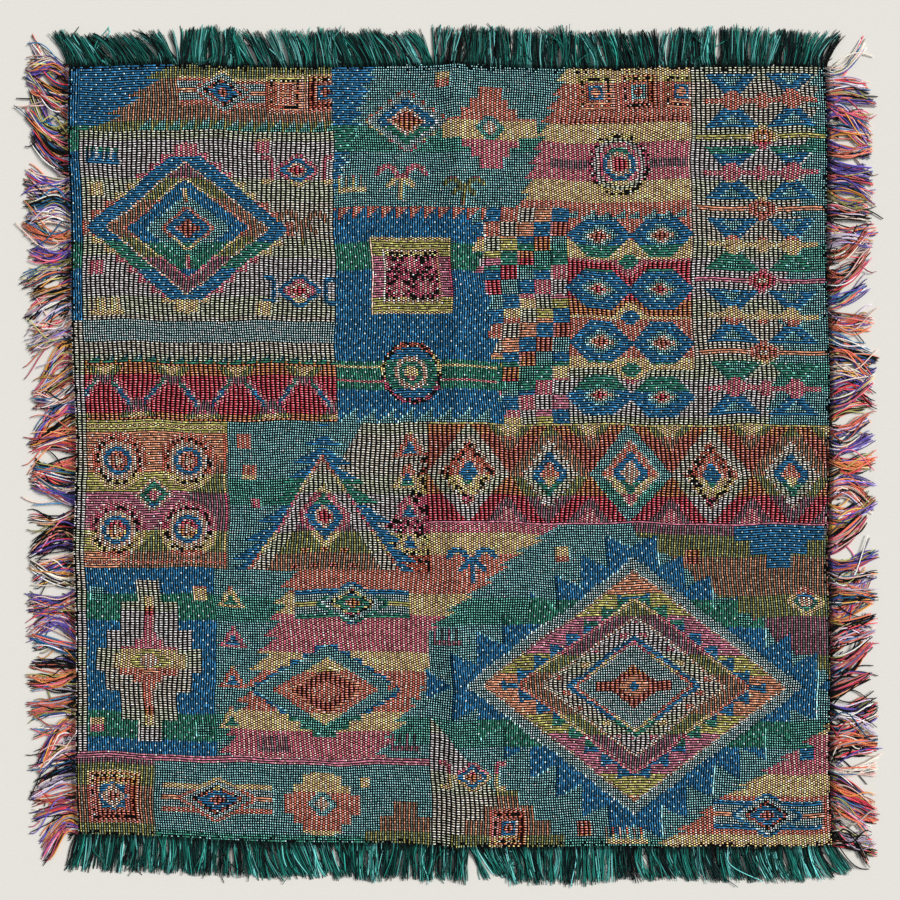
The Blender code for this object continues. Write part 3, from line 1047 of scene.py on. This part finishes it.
def set_on_faces(mesh, name, kind, values):
    """Stores a number, a vector or a colour for each face."""
    field = {"FLOAT": "value", "FLOAT_VECTOR": "vector", "FLOAT_COLOR": "color"}[kind]
    store = mesh.attributes.new(name, kind, "FACE")
    store.data.foreach_set(field, values.astype(np.float32).ravel())


def set_colours(mesh, name, colours):
    """Stores a colour of three parts for each face."""
    opaque = np.concatenate((colours, np.ones((len(colours), 1))), axis=1)
    set_on_faces(mesh, name, "FLOAT_COLOR", opaque)


def set_map(mesh, name, places):
    """Stores a UV map, given a place for each corner."""
    layer = mesh.uv_layers.new(name=name, do_init=False)
    layer.uv.foreach_set("vector", places.astype(np.float32).ravel())


def smooth(mesh):
    """Shades a mesh smooth, and makes its bake map the one in use."""
    mesh.polygons.foreach_set("use_smooth", np.ones(len(mesh.polygons), bool))
    mesh.uv_layers.active = mesh.uv_layers[BAKE_MAP]


def new_piece(name, mesh, finish):
    """Links a mesh as a piece of the mat, with its finish and the body that it rides on."""
    mesh.materials.append(finish)
    piece = bpy.data.objects.new(name, mesh)
    bpy.context.scene.collection.objects.link(piece)
    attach(piece, BODY)
    return piece


class Wire:
    """One output of a shader's node. A sum or product on wires adds its Math nodes."""

    def __init__(self, tree, socket):
        self.tree = tree
        self.socket = socket

    def __add__(self, other):
        return do_math(self.tree, "ADD", self, other)

    def __radd__(self, other):
        return do_math(self.tree, "ADD", other, self)

    def __sub__(self, other):
        return do_math(self.tree, "SUBTRACT", self, other)

    def __rsub__(self, other):
        return do_math(self.tree, "SUBTRACT", other, self)

    def __mul__(self, other):
        return do_math(self.tree, "MULTIPLY", self, other)

    def __rmul__(self, other):
        return do_math(self.tree, "MULTIPLY", other, self)

    def fraction(self):
        """What is left above the whole number below."""
        return do_math(self.tree, "FRACT", self)

    def floor(self):
        """The whole number below."""
        return do_math(self.tree, "FLOOR", self)

    def size(self):
        """The number without its sign."""
        return do_math(self.tree, "ABSOLUTE", self)


def plug(tree, socket, value):
    """Puts a wire or a value into a node's socket."""
    if isinstance(value, Wire):
        tree.links.new(value.socket, socket)
    else:
        socket.default_value = value


def do_math(tree, operation, *values):
    """One Math node on values or wires."""
    node = tree.nodes.new("ShaderNodeMath")
    node.operation = operation
    for socket, value in zip(node.inputs, values):
        plug(tree, socket, value)
    return Wire(tree, node.outputs[0])


class Finish:
    """A material whose Principled shader is fed by the nodes that are added to it."""

    def __init__(self, name, **constants):
        self.material = bpy.data.materials.new(name)
        self.material.use_nodes = True
        self.tree = self.material.node_tree
        self.shader = self.tree.nodes["Principled BSDF"]
        for socket, value in constants.items():
            self.shader.inputs[socket.replace("_", " ")].default_value = value

    def add(self, kind, settings, values, output=0):
        """Adds a node: first its settings, then the values or wires of its sockets."""
        node = self.tree.nodes.new("ShaderNode" + kind)
        for name, value in settings.items():
            setattr(node, name, value)
        for name, value in values.items():
            plug(self.tree, node.inputs[name], value)
        return Wire(self.tree, node.outputs[output])

    def feed(self, socket, wire):
        """Leads a wire into the shader."""
        plug(self.tree, self.shader.inputs[socket], wire)

    def mix(self, share, first, second):
        """Blends two colours."""
        sockets = {0: share, 6: first, 7: second}
        return self.add("Mix", {"data_type": "RGBA"}, sockets, 2)

    def ramp(self, wire, low, high):
        """0 up to low, rising smoothly to 1 at high."""
        values = {"Value": wire, "From Min": low, "From Max": high}
        return self.add("MapRange", {"interpolation_type": "SMOOTHSTEP"}, values)

    def attribute(self, name, output="Color"):
        """What the mesh stores under a name."""
        return self.add("Attribute", {"attribute_name": name}, {}, output)

    def split(self, wire):
        """The three numbers of a vector."""
        node = self.add("SeparateXYZ", {}, {"Vector": wire}).socket.node
        return [Wire(self.tree, socket) for socket in node.outputs]

    def on_map(self, name):
        """The two places on a UV map."""
        return self.split(self.add("UVMap", {"uv_map": name}, {}))[:2]

    def noise(self, scale, detail):
        """Soft noise between 0 and 1, as fine as its scale."""
        here = self.add("TexCoord", {}, {}, "Object")
        values = {"Vector": here, "Scale": scale, "Detail": detail}
        return self.add("TexNoise", {}, values, "Fac")

    def lit(self, colour, light):
        """A colour times a number."""
        return self.add("VectorMath", {"operation": "SCALE"}, {0: colour, "Scale": light})

    def bump(self, height, distance):
        """Raises the surface by the height times the distance, for its shading alone."""
        self.feed("Normal", self.add("Bump", {}, {"Height": height, "Distance": distance}))


def woven_finish(sizes):
    """The cloth's weave: a dash of yarn in each cell, with dark gaps across and along it.

    The cloth's weave: a dash of yarn in each cell, with dark gaps across and along it, where the ground
    yarn shows, darkened further by painted shade.
    windows, each open where the distance to the cell's side is more than half the gap. Every other
    end may be shifted by half a pick, and a float takes both ends of a face as its cell.
    """
    finish = Finish("woven_yarn", Roughness=0.9, Specular_IOR_Level=0.06)
    across, along = finish.on_map(WEAVE_MAP)
    gap_across, gap_along, shift = finish.split(finish.attribute("gaps", "Vector"))
    is_float = finish.attribute("float_share", "Fac")
    single = across.fraction()
    double = (across * 0.5).fraction()
    odd = (double * 2).floor()
    share_across = single + (double - single) * is_float
    share_along = (along + odd * shift * 0.5).fraction()
    side_across = 0.5 - (share_across - 0.5).size()
    side_along = 0.5 - (share_along - 0.5).size()
    open_across = finish.ramp(side_across - gap_across * 0.5, -SOFT_EDGE, SOFT_EDGE)
    open_along = finish.ramp(side_along - gap_along * 0.5, -SOFT_EDGE, SOFT_EDGE)
    mask = open_across * open_along

    fibre = finish.noise(CLOTH_FIBRES, 1.0)
    tone = finish.noise(CLOTH_TONES, 3.0)
    yarn = finish.mix(odd, finish.attribute("yarn_even"), finish.attribute("yarn_odd"))
    dash = finish.lit(yarn, 1.04 + fibre * 0.36 + tone * 0.32)
    # Painted shade in the gaps: the ground yarn is darkened to 0.3 of its colour in the gaps between
    # ends and to 0.8 in those between picks.
    gap = finish.lit(finish.attribute("ground"), 0.30 + open_across * 0.50)
    finish.feed("Base Color", finish.mix(mask, gap, dash))
    round_yarn = mask * (0.4 + side_across * 0.6 + side_along * 0.6)
    finish.bump(round_yarn + fibre * 0.12, sizes.relief)
    return finish.material


def fringe_finish(name):
    """Loose yarn of its own dye with painted shade at its root, and the twist of its two plies round it
    as bump, painted shade and painted highlight.
    """
    finish = Finish(name, Roughness=0.85, Specular_IOR_Level=0.15)
    around, along = finish.on_map(STRAND_MAP)
    ply = 0.5 - ((around * 2 + along).fraction() - 0.5).size()
    fibre = finish.noise(YARN_FIBRES, 2.0)
    # Painted shade in the grooves between the two plies and painted highlight on their crowns. The dye
    # attribute already carries the painted root shade.
    light = 0.55 + ply * 0.7 + fibre * 0.45
    finish.feed("Base Color", finish.lit(finish.attribute("dye"), light))
    finish.bump(ply + fibre * 0.3, YARN_RELIEF)
    return finish.material


def floor_finish():
    """A plain pale table cloth of fine even grain."""
    finish = Finish("pale_floor", Roughness=0.9, Specular_IOR_Level=0.2)
    dark, pale = ((*screen_colour(*colour), 1.0) for colour in (FLOOR_DARK, FLOOR_PALE))
    finish.feed("Base Color", finish.mix(finish.noise(FLOOR_GRAIN, 2.0), dark, pale))
    return finish.material


def cloth_points(rows, columns, height, relief):
    """The points of one side of the cloth.

    They are the grid of its outline, moved sideways by the ripples, which fade out towards the
    edges. Their height is the lift, and on the face the thickness, the upward part of the ripples
    and the relief of the weave.
    """
    across, along = np.meshgrid(np.linspace(0, 1, columns + 1), np.linspace(0, 1, rows + 1))
    x, y = cloth_outline(across, along)
    level = lift(x, y)
    from_side = np.minimum(across, 1 - across)
    from_end = np.minimum(along, 1 - along)
    inner = np.minimum(1.0, RIPPLE_FADE * from_side) * np.minimum(1.0, RIPPLE_FADE * from_end)
    rippled_x = x + ripple("x", x, y) * inner + SHIFT_X
    rippled_y = y + ripple("y", x, y) * inner + SHIFT_Y
    raised = np.maximum(0.0, ripple("z", x, y)) * inner
    z = level + height + (raised if height else 0.0) + relief
    return np.stack((rippled_x, rippled_y, z), axis=-1).reshape(-1, 3)


def make_cloth(sizes, dyes):
    """The cloth: its woven face, an underside of half as many lines each way, and the rim.

    The face has one polygon for two ends and one pick. The rim joins two of its edges to one edge
    of the underside. The weave map counts ends and picks, so that its whole numbers are the cells.
    """
    draws = np.random.default_rng(CHART_SEED)
    rows, columns = PICKS, ENDS // FACE_ENDS
    low_rows, low_columns = rows // UNDERSIDE_STEP, columns // UNDERSIDE_STEP
    cells = draw_chart(draws)
    shown, ground, specks = cell_colours(cells, dyes, draws)
    reverses = np.array([FILLING_NUMBER[filling.reverse] for filling in FILLINGS])
    behind, behind_ground, _ = cell_colours(reverses[cells], dyes, draws)

    proud = np.zeros((rows + 2, columns + 2))
    proud[1:-1, 1:-1] = weave_table("proud")[cells[::-1, ::FACE_ENDS]]
    relief = (proud[1:, 1:] + proud[:-1, 1:] + proud[1:, :-1] + proud[:-1, :-1]) / 4
    relief += draws.uniform(0, sizes.roughness, relief.shape)
    face = cloth_points(rows, columns, sizes.thickness, relief)
    face[:, :2] += draws.normal(0, CELL_STRAY, (len(face), 2))
    underside = cloth_points(low_rows, low_columns, 0.0, 0.0)
    points = np.concatenate((face, underside))

    upper_rim = grid_rim(rows, columns, 0)
    lower_rim = grid_rim(low_rows, low_columns, len(face))
    points[upper_rim, 2] -= RIM_DROP * sizes.thickness
    rim = np.stack(
        (
            lower_rim,
            np.roll(lower_rim, -1),
            np.roll(upper_rim, -2)[::2],
            np.roll(upper_rim, -1)[::2],
            upper_rim[::2],
        ),
        axis=1,
    )
    face_groups = (
        grid_faces(rows, columns, 0, False),
        grid_faces(low_rows, low_columns, len(face), True),
        rim,
    )
    mesh = new_mesh("woven_cloth", points, face_groups)

    def on_faces(upper, lower, edge):
        """One row for each polygon: the face's, the underside's, and the same one along the rim."""
        depth = upper.shape[-1]
        edge = np.broadcast_to(edge, (len(rim), depth))
        return np.concatenate((upper.reshape(-1, depth), lower.reshape(-1, depth), edge))

    under = (slice(None, None, -UNDERSIDE_STEP), slice(None, None, FACE_ENDS * UNDERSIDE_STEP))
    under_odd = (under[0], slice(1, None, FACE_ENDS * UNDERSIDE_STEP))
    black = np.array(dyes.black)
    set_colours(mesh, "yarn_even", on_faces(shown[::-1, ::2], behind[under], black))
    set_colours(mesh, "yarn_odd", on_faces(shown[::-1, 1::2], behind[under_odd], black))
    set_colours(mesh, "ground", on_faces(ground[::-1, ::2], behind_ground[under], black))
    gaps = np.stack([weave_table(name) for name in ("gap_across", "gap_along", "shift")], axis=-1)
    net = gaps[FILLING_NUMBER["teal"]]
    upper_gaps = gaps[cells[::-1, ::2]]
    short = np.maximum(upper_gaps, (SPECK_GAP, SPECK_GAP, 0.0))
    upper_gaps = np.where(specks[::-1, ::2, None], short, upper_gaps)
    lower_gaps = gaps[reverses[cells[under]]]
    set_on_faces(mesh, "gaps", "FLOAT_VECTOR", on_faces(upper_gaps, lower_gaps, net))
    floats = weave_table("float")[:, None]
    shares = on_faces(floats[cells[::-1, ::2]], floats[reverses[cells[under]]], 0.0)
    set_on_faces(mesh, "float_share", "FLOAT", shares)

    set_cloth_maps(mesh, rows, columns, low_rows, low_columns, len(rim))
    smooth(mesh)
    mesh.set_sharp_from_angle(angle=np.radians(SHARP_ANGLE))
    return mesh


def set_cloth_maps(mesh, rows, columns, low_rows, low_columns, rim_faces):
    """The weave map in ends and picks, and the bake map with the face, underside and rim apart."""
    corners = np.zeros(len(mesh.loops), np.int32)
    mesh.loops.foreach_get("vertex_index", corners)
    face_count = (rows + 1) * (columns + 1)
    face_corners = 4 * rows * columns
    under_corners = 4 * low_rows * low_columns
    upper = corners[:face_corners]
    lower = corners[face_corners : face_corners + under_corners] - face_count
    upper_share = np.stack((upper % (columns + 1) / columns, upper // (columns + 1) / rows), 1)
    lower_share = np.stack(
        (lower % (low_columns + 1) / low_columns, lower // (low_columns + 1) / low_rows), 1
    )
    step = np.arange(rim_faces)[:, None]
    rim_along = np.broadcast_to(step + np.array((0.0, 1.0, 1.0, 0.5, 0.0)), (rim_faces, 5)).ravel()
    rim_up = np.tile((0.0, 0.0, 1.0, 1.0, 1.0), rim_faces)

    cell_count = np.array((ENDS, PICKS))
    rim_cells = np.stack((rim_along * FACE_ENDS * UNDERSIDE_STEP, rim_up), 1)
    weave = np.concatenate((upper_share * cell_count, lower_share * cell_count, rim_cells))
    set_map(mesh, WEAVE_MAP, weave)

    under_part = 1 - FACE_PART - RIM_PART - 2 * MAP_MARGIN
    upper_place = upper_share * (1.0, FACE_PART)
    lower_place = lower_share * (1.0, under_part) + (0.0, FACE_PART + MAP_MARGIN)
    rim_height = 1 - RIM_PART + rim_up * (RIM_PART - MAP_MARGIN)
    rim_place = np.stack((rim_along / rim_faces, rim_height), 1)
    set_map(mesh, BAKE_MAP, np.concatenate((upper_place, lower_place, rim_place)))


def part_into_locks(place, width, draws):
    """Parts yarns into locks of uneven widths: the number and the middle of each yarn's lock."""
    ends = np.cumsum(draws.uniform(*LOCK_WIDTHS, round(3 * place[-1] / width)) * width)
    lock = np.unique(np.searchsorted(ends, place), return_inverse=True)[1]
    middle = np.bincount(lock, place) / np.bincount(lock)
    return lock, middle[lock]


def comb_yarns(fringe, comb, count, thickness, draws):
    """The middle lines of a fringe's yarns, as yarns by stations by three, its locks and stubs.

    A yarn starts in the cloth's edge and runs out for its length. Sideways it gathers to its
    lock's middle, leans by the table of leans with its lock's and its own part added, and bends
    in a sine wave. Its height falls from the edge to its lock's level, and on towards the table.
    """
    sizes = bpy.context.scene.mat_sizes
    start, end = np.array(fringe.start), np.array(fringe.end)
    side_length = np.hypot(*(end - start))
    run = (end - start) / side_length
    outward = np.array((-run[1], run[0]))
    outward *= np.sign(outward @ (start + end))
    place = (np.arange(count) + draws.uniform(0, 1, count)) / count * side_length
    lock, middle = part_into_locks(place, comb.lock, draws)

    def by_lock(spread):
        return draws.normal(0, spread, lock[-1] + 1)[lock]

    def by_yarn(spread):
        return draws.normal(0, spread, count)

    shares, leans = np.array(LEANS[fringe.side]).T
    stray = draws.uniform(0, 1, count) < comb.strays
    lean = np.interp(middle / side_length, shares, leans) + by_lock(comb.lean)
    lean += by_yarn(comb.splay) + stray * by_yarn(STRAY_LEAN)
    bend = by_lock(comb.bend) + by_yarn(comb.bend / 2) + stray * by_yarn(STRAY_BEND)
    reach = fringe.reach * (1 + by_lock(LOCK_REACH))
    reach = reach * draws.uniform(comb.shortest, LONGEST_YARN, count)
    reach *= 1 + STRAY_REACH * stray
    stub = ~stray & (draws.uniform(0, 1, count) < comb.stubs)
    reach *= np.where(stub, STUB_REACH, 1)
    bend = np.clip(bend + stub * by_yarn(STUB_BEND), -MOST_BEND, MOST_BEND)
    power = np.clip(LEAN_POWER + by_lock(LEAN_POWER_SPREAD), 1.0, 2.2)

    column = (slice(None), None)
    share = np.linspace(0, 1, YARN_STATIONS)[None, :]
    slope = lean[column] * share ** (power[column] - 1)
    out = reach[column] * share / np.sqrt(1 + slope**2) - TUCK * (1 - share)
    gathered = comb.gather * (1 - np.exp(-GATHER_RATE * share))
    waves = draws.uniform(*BEND_WAVES, count)[column]
    sway = slope * share / np.sqrt(1 + slope**2) + bend[column] * np.sin(np.pi * waves * share)
    side = place[column] + (middle - place)[column] * gathered + reach[column] * sway
    bow = edge_bow(fringe.side, np.clip(side / side_length, 0, 1))

    x = start[0] + run[0] * side + outward[0] * (out + bow)
    y = start[1] + run[1] * side + outward[1] * (out + bow)
    root = lift(start[0] + run[0] * place, start[1] + run[1] * place)
    root += sizes.thickness * draws.uniform(*ROOT_HEIGHTS, count)
    lock_level = draws.uniform(0, LOCK_LEVEL, lock[-1] + 1)[lock]
    level = sizes.pile * (lock_level + draws.uniform(0, YARN_LEVEL, count))
    fall = 1 - np.clip(share / FALL_SHARE, 0, 1)
    fall = fall * fall * (3 - 2 * fall)
    arch = by_yarn(ARCH)[column] * np.sin(np.pi * share)
    rest = level[column] * (1 - 0.5 * share**2) + arch
    radius = thickness / 2
    z = np.maximum(radius, radius + root[column] * fall + rest * (1 - fall))
    return np.stack((x + SHIFT_X, y + SHIFT_Y, z), axis=-1), lock, stub


def yarn_dyes(strands, lock, favour, dyes, draws):
    """A colour for each yarn: its lock's own favourite for some, and any strand for the others."""
    shares = np.array([strand.share for strand in strands])
    shares = shares / shares.sum()
    favourite = draws.choice(len(strands), lock[-1] + 1, p=shares)[lock]
    any_strand = draws.choice(len(strands), len(lock), p=shares)
    choice = np.where(draws.uniform(0, 1, len(lock)) < favour, favourite, any_strand)
    colours = np.array([getattr(dyes, strand.yarn) for strand in strands])[choice]
    return np.clip(colours * np.exp(draws.normal(0, DYE_SPREAD, (len(lock), 1))), 0, 1)


def yarn_tubes(name, lines, radius, colours):
    """A mesh of closed tubes round middle lines.

    Each station has a ring of four points at the radius, which shrinks by the fourth power of the
    share along the yarn. The ring stands square to the line, and nothing goes under the table.
    """
    count, stations, _ = lines.shape
    along = np.gradient(lines, axis=1)
    along /= np.linalg.norm(along, axis=2, keepdims=True)
    side = np.cross(along, (0.0, 0.0, 1.0))
    side /= np.linalg.norm(side, axis=2, keepdims=True)
    up = np.cross(side, along)
    turns = (np.arange(YARN_SIDES) + 0.5) / YARN_SIDES * 2 * np.pi
    share = np.linspace(0, 1, stations)[None, :, None, None]
    girth = radius * (1 - TIP_TAPER * share**4)
    ring = np.cos(turns)[:, None] * side[:, :, None] + np.sin(turns)[:, None] * up[:, :, None]
    points = lines[:, :, None] + girth * ring
    points[..., 2] = np.maximum(points[..., 2], 0.0)

    numbers = np.arange(count * stations * YARN_SIDES).reshape(count, stations, YARN_SIDES)
    low, high = numbers[:, :-1], numbers[:, 1:]
    walls = np.stack((low, high, np.roll(high, -1, 2), np.roll(low, -1, 2)), axis=-1)
    walls = walls.reshape(count, -1, 4)
    caps = np.stack((numbers[:, 0], numbers[:, -1, ::-1]), axis=1)
    faces = np.concatenate((walls, caps), axis=1)
    mesh = new_mesh(name, points.reshape(-1, 3), (faces.reshape(-1, 4),))
    # Painted shade: each wall's colour is darkened near the yarn's root and the darkening fades along
    # it. The root cap takes the first wall's shade and the tip cap none. The dye attribute holds the
    # dye times this painted shade.
    wall_shade = 1 - ROOT_SHADE * np.exp(-np.arange(stations - 1) / ROOT_STATIONS)
    shade = np.concatenate((np.repeat(wall_shade, YARN_SIDES), (wall_shade[0], 1.0)))
    set_colours(mesh, "dye", (colours[:, None, :] * shade[None, :, None]).reshape(-1, 3))

    set_yarn_maps(mesh, lines)
    smooth(mesh)
    return mesh


def set_yarn_maps(mesh, lines):
    """The bake map, with a strip for each yarn, and the strand map: turns round and twists along.

    Each wall has its own share of the strip, and the two caps take its ends.
    """
    count, stations, _ = lines.shape
    station, turn = np.meshgrid(np.arange(stations - 1), np.arange(YARN_SIDES), indexing="ij")
    around = np.stack((turn, turn, turn + 1, turn + 1), axis=-1).reshape(-1, 4) / YARN_SIDES
    reach = np.stack((station, station + 1, station + 1, station), axis=-1).reshape(-1, 4)
    reach = reach / (stations - 1)
    cap_around = np.array((0.1, 0.4, 0.4, 0.1))
    cap_reach = np.array((0.0, 0.0, 0.04, 0.04))
    around = np.concatenate((around, (cap_around, cap_around)))
    reach = np.concatenate((reach, (cap_reach, cap_reach + 0.96)))

    strip_rows = -(-count // STRIP_COLUMNS)
    yarn = np.arange(count)[:, None, None]
    strip_x = (yarn % STRIP_COLUMNS + 0.1 + 0.8 * around) / STRIP_COLUMNS
    strip_y = (yarn // STRIP_COLUMNS + 0.05 + 0.9 * reach) / strip_rows
    set_map(mesh, BAKE_MAP, np.stack((strip_x, strip_y), axis=-1).reshape(-1, 2))
    lengths = np.linalg.norm(np.diff(lines, axis=1), axis=2).sum(axis=1)[:, None, None]
    twists = lengths / TWIST_LENGTH * reach
    strand = np.stack((np.broadcast_to(around, twists.shape), twists), axis=-1)
    set_map(mesh, STRAND_MAP, strand.reshape(-1, 2))


def make_fringes(fringes, comb, count, thickness, strands, slot, draws):
    """The fringes of one kind, each in the place of its CAD solid."""
    dyes = bpy.context.scene.mat_dyes
    for fringe in fringes:
        lines, lock, stub = comb_yarns(fringe, comb, count, thickness, draws)
        colours = yarn_dyes(strands, lock, comb.favour, dyes, draws)
        colours[stub] = dyes.black
        colours *= fringe.tone
        name = f"{fringe.side}_fringe_yarns"
        mesh = yarn_tubes(name, lines, thickness / 2, colours)
        piece = new_piece(name, mesh, fringe_finish(f"{fringe.side}_fringe_yarn"))
        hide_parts(f"fringe_{fringe.side}")


class MAT_OT_weave_cloth(bpy.types.Operator):
    """Weave the figured cloth from its chart"""

    bl_idname = "mat.weave_cloth"
    bl_label = "Weave Cloth"

    def execute(self, context):
        sizes = context.scene.mat_sizes
        mesh = make_cloth(sizes, context.scene.mat_dyes)
        cloth = new_piece("woven_cloth", mesh, woven_finish(sizes))
        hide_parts("cloth")
        return {"FINISHED"}


class MAT_OT_comb_warp_fringes(bpy.types.Operator):
    """Comb out the green warp ends at the far and the near edge"""

    bl_idname = "mat.comb_warp_fringes"
    bl_label = "Comb Warp Fringes"

    def execute(self, context):
        draws = np.random.default_rng(FRINGE_SEED)
        sizes = context.scene.mat_sizes
        yarns = (sizes.warp_yarns, sizes.warp_yarn)
        make_fringes(WARP_FRINGES, WARP_COMB, *yarns, WARP_STRANDS, "green_fringe", draws)
        return {"FINISHED"}


class MAT_OT_comb_weft_fringes(bpy.types.Operator):
    """Comb out the weft ends of many colours at the left and the right edge"""

    bl_idname = "mat.comb_weft_fringes"
    bl_label = "Comb Weft Fringes"

    def execute(self, context):
        draws = np.random.default_rng(FRINGE_SEED + 1)
        sizes = context.scene.mat_sizes
        yarns = (sizes.weft_yarns, sizes.weft_yarn)
        make_fringes(WEFT_FRINGES, WEFT_COMB, *yarns, WEFT_STRANDS, "mixed_fringe", draws)
        return {"FINISHED"}


class MAT_OT_set_stage(bpy.types.Operator):
    """Set up the pale floor, the soft light and the camera above the mat"""

    bl_idname = "mat.set_stage"
    bl_label = "Set Stage"

    def execute(self, context):
        scene = context.scene
        bpy.ops.mesh.primitive_plane_add(size=FLOOR_SIZE, location=(0, 0, 0))
        floor = context.object
        floor.name = "floor"
        floor.data.materials.append(floor_finish())

        world = bpy.data.worlds.new("studio")
        world.use_nodes = True
        sky = world.node_tree.nodes["Background"]
        sky.inputs["Color"].default_value = SKY_COLOUR
        sky.inputs["Strength"].default_value = SKY_STRENGTH
        scene.world = world

        lamp = bpy.data.lights.new("soft_sun", "SUN")
        lamp.angle = SUN_ANGLE
        lamp.energy = SUN_ENERGY
        lamp.color = SUN_COLOUR
        sun = bpy.data.objects.new("soft_sun", lamp)
        sun.location = SUN_PLACE
        aim_x, aim_y, aim_z = -np.array(SUN_PLACE)
        tilt = np.arctan2(np.hypot(aim_x, aim_y), -aim_z)
        sun.rotation_euler = (tilt, 0.0, np.arctan2(-aim_x, aim_y))
        scene.collection.objects.link(sun)

        eye = bpy.data.cameras.new("photo_camera")
        eye.sensor_width = SENSOR_WIDTH
        eye.lens = SENSOR_WIDTH * CAMERA_HEIGHT / VIEW_WIDTH
        camera = bpy.data.objects.new("photo_camera", eye)
        x, y = CAMERA_PLACE
        camera.location = (SHIFT_X + x, SHIFT_Y + y, CAMERA_HEIGHT)
        scene.collection.objects.link(camera)
        scene.camera = camera
        scene.view_settings.view_transform = "Standard"
        return {"FINISHED"}


class MAT_PT_workshop(bpy.types.Panel):
    """Lists the sizes, the yarns and the steps of the mat"""

    bl_idname = "MAT_PT_workshop"
    bl_label = "Placemat"
    bl_space_type = "VIEW_3D"
    bl_region_type = "UI"
    bl_category = "Placemat"

    def draw(self, context):
        for group in (context.scene.mat_sizes, context.scene.mat_dyes):
            column = self.layout.box().column()
            for name in group.__annotations__:
                column.prop(group, name)
        for step in STEPS:
            self.layout.operator(step.bl_idname)


STEPS = (
    MAT_OT_set_stage,
    MAT_OT_comb_warp_fringes,
    MAT_OT_comb_weft_fringes,
    MAT_OT_weave_cloth,
)
CLASSES = (YarnDyes, MatSizes, *STEPS, MAT_PT_workshop)
SHIFT_X, SHIFT_Y = frame_shift()


def register():
    for item in CLASSES:
        bpy.utils.register_class(item)
    bpy.types.Scene.mat_dyes = bpy.props.PointerProperty(type=YarnDyes)
    bpy.types.Scene.mat_sizes = bpy.props.PointerProperty(type=MatSizes)


def unregister():
    del bpy.types.Scene.mat_sizes
    del bpy.types.Scene.mat_dyes
    for item in reversed(CLASSES):
        bpy.utils.unregister_class(item)


def main():
    register()
    bpy.ops.mat.set_stage()
    bpy.ops.mat.comb_warp_fringes()
    bpy.ops.mat.comb_weft_fringes()
    bpy.ops.mat.weave_cloth()


if __name__ == "__main__":
    main()
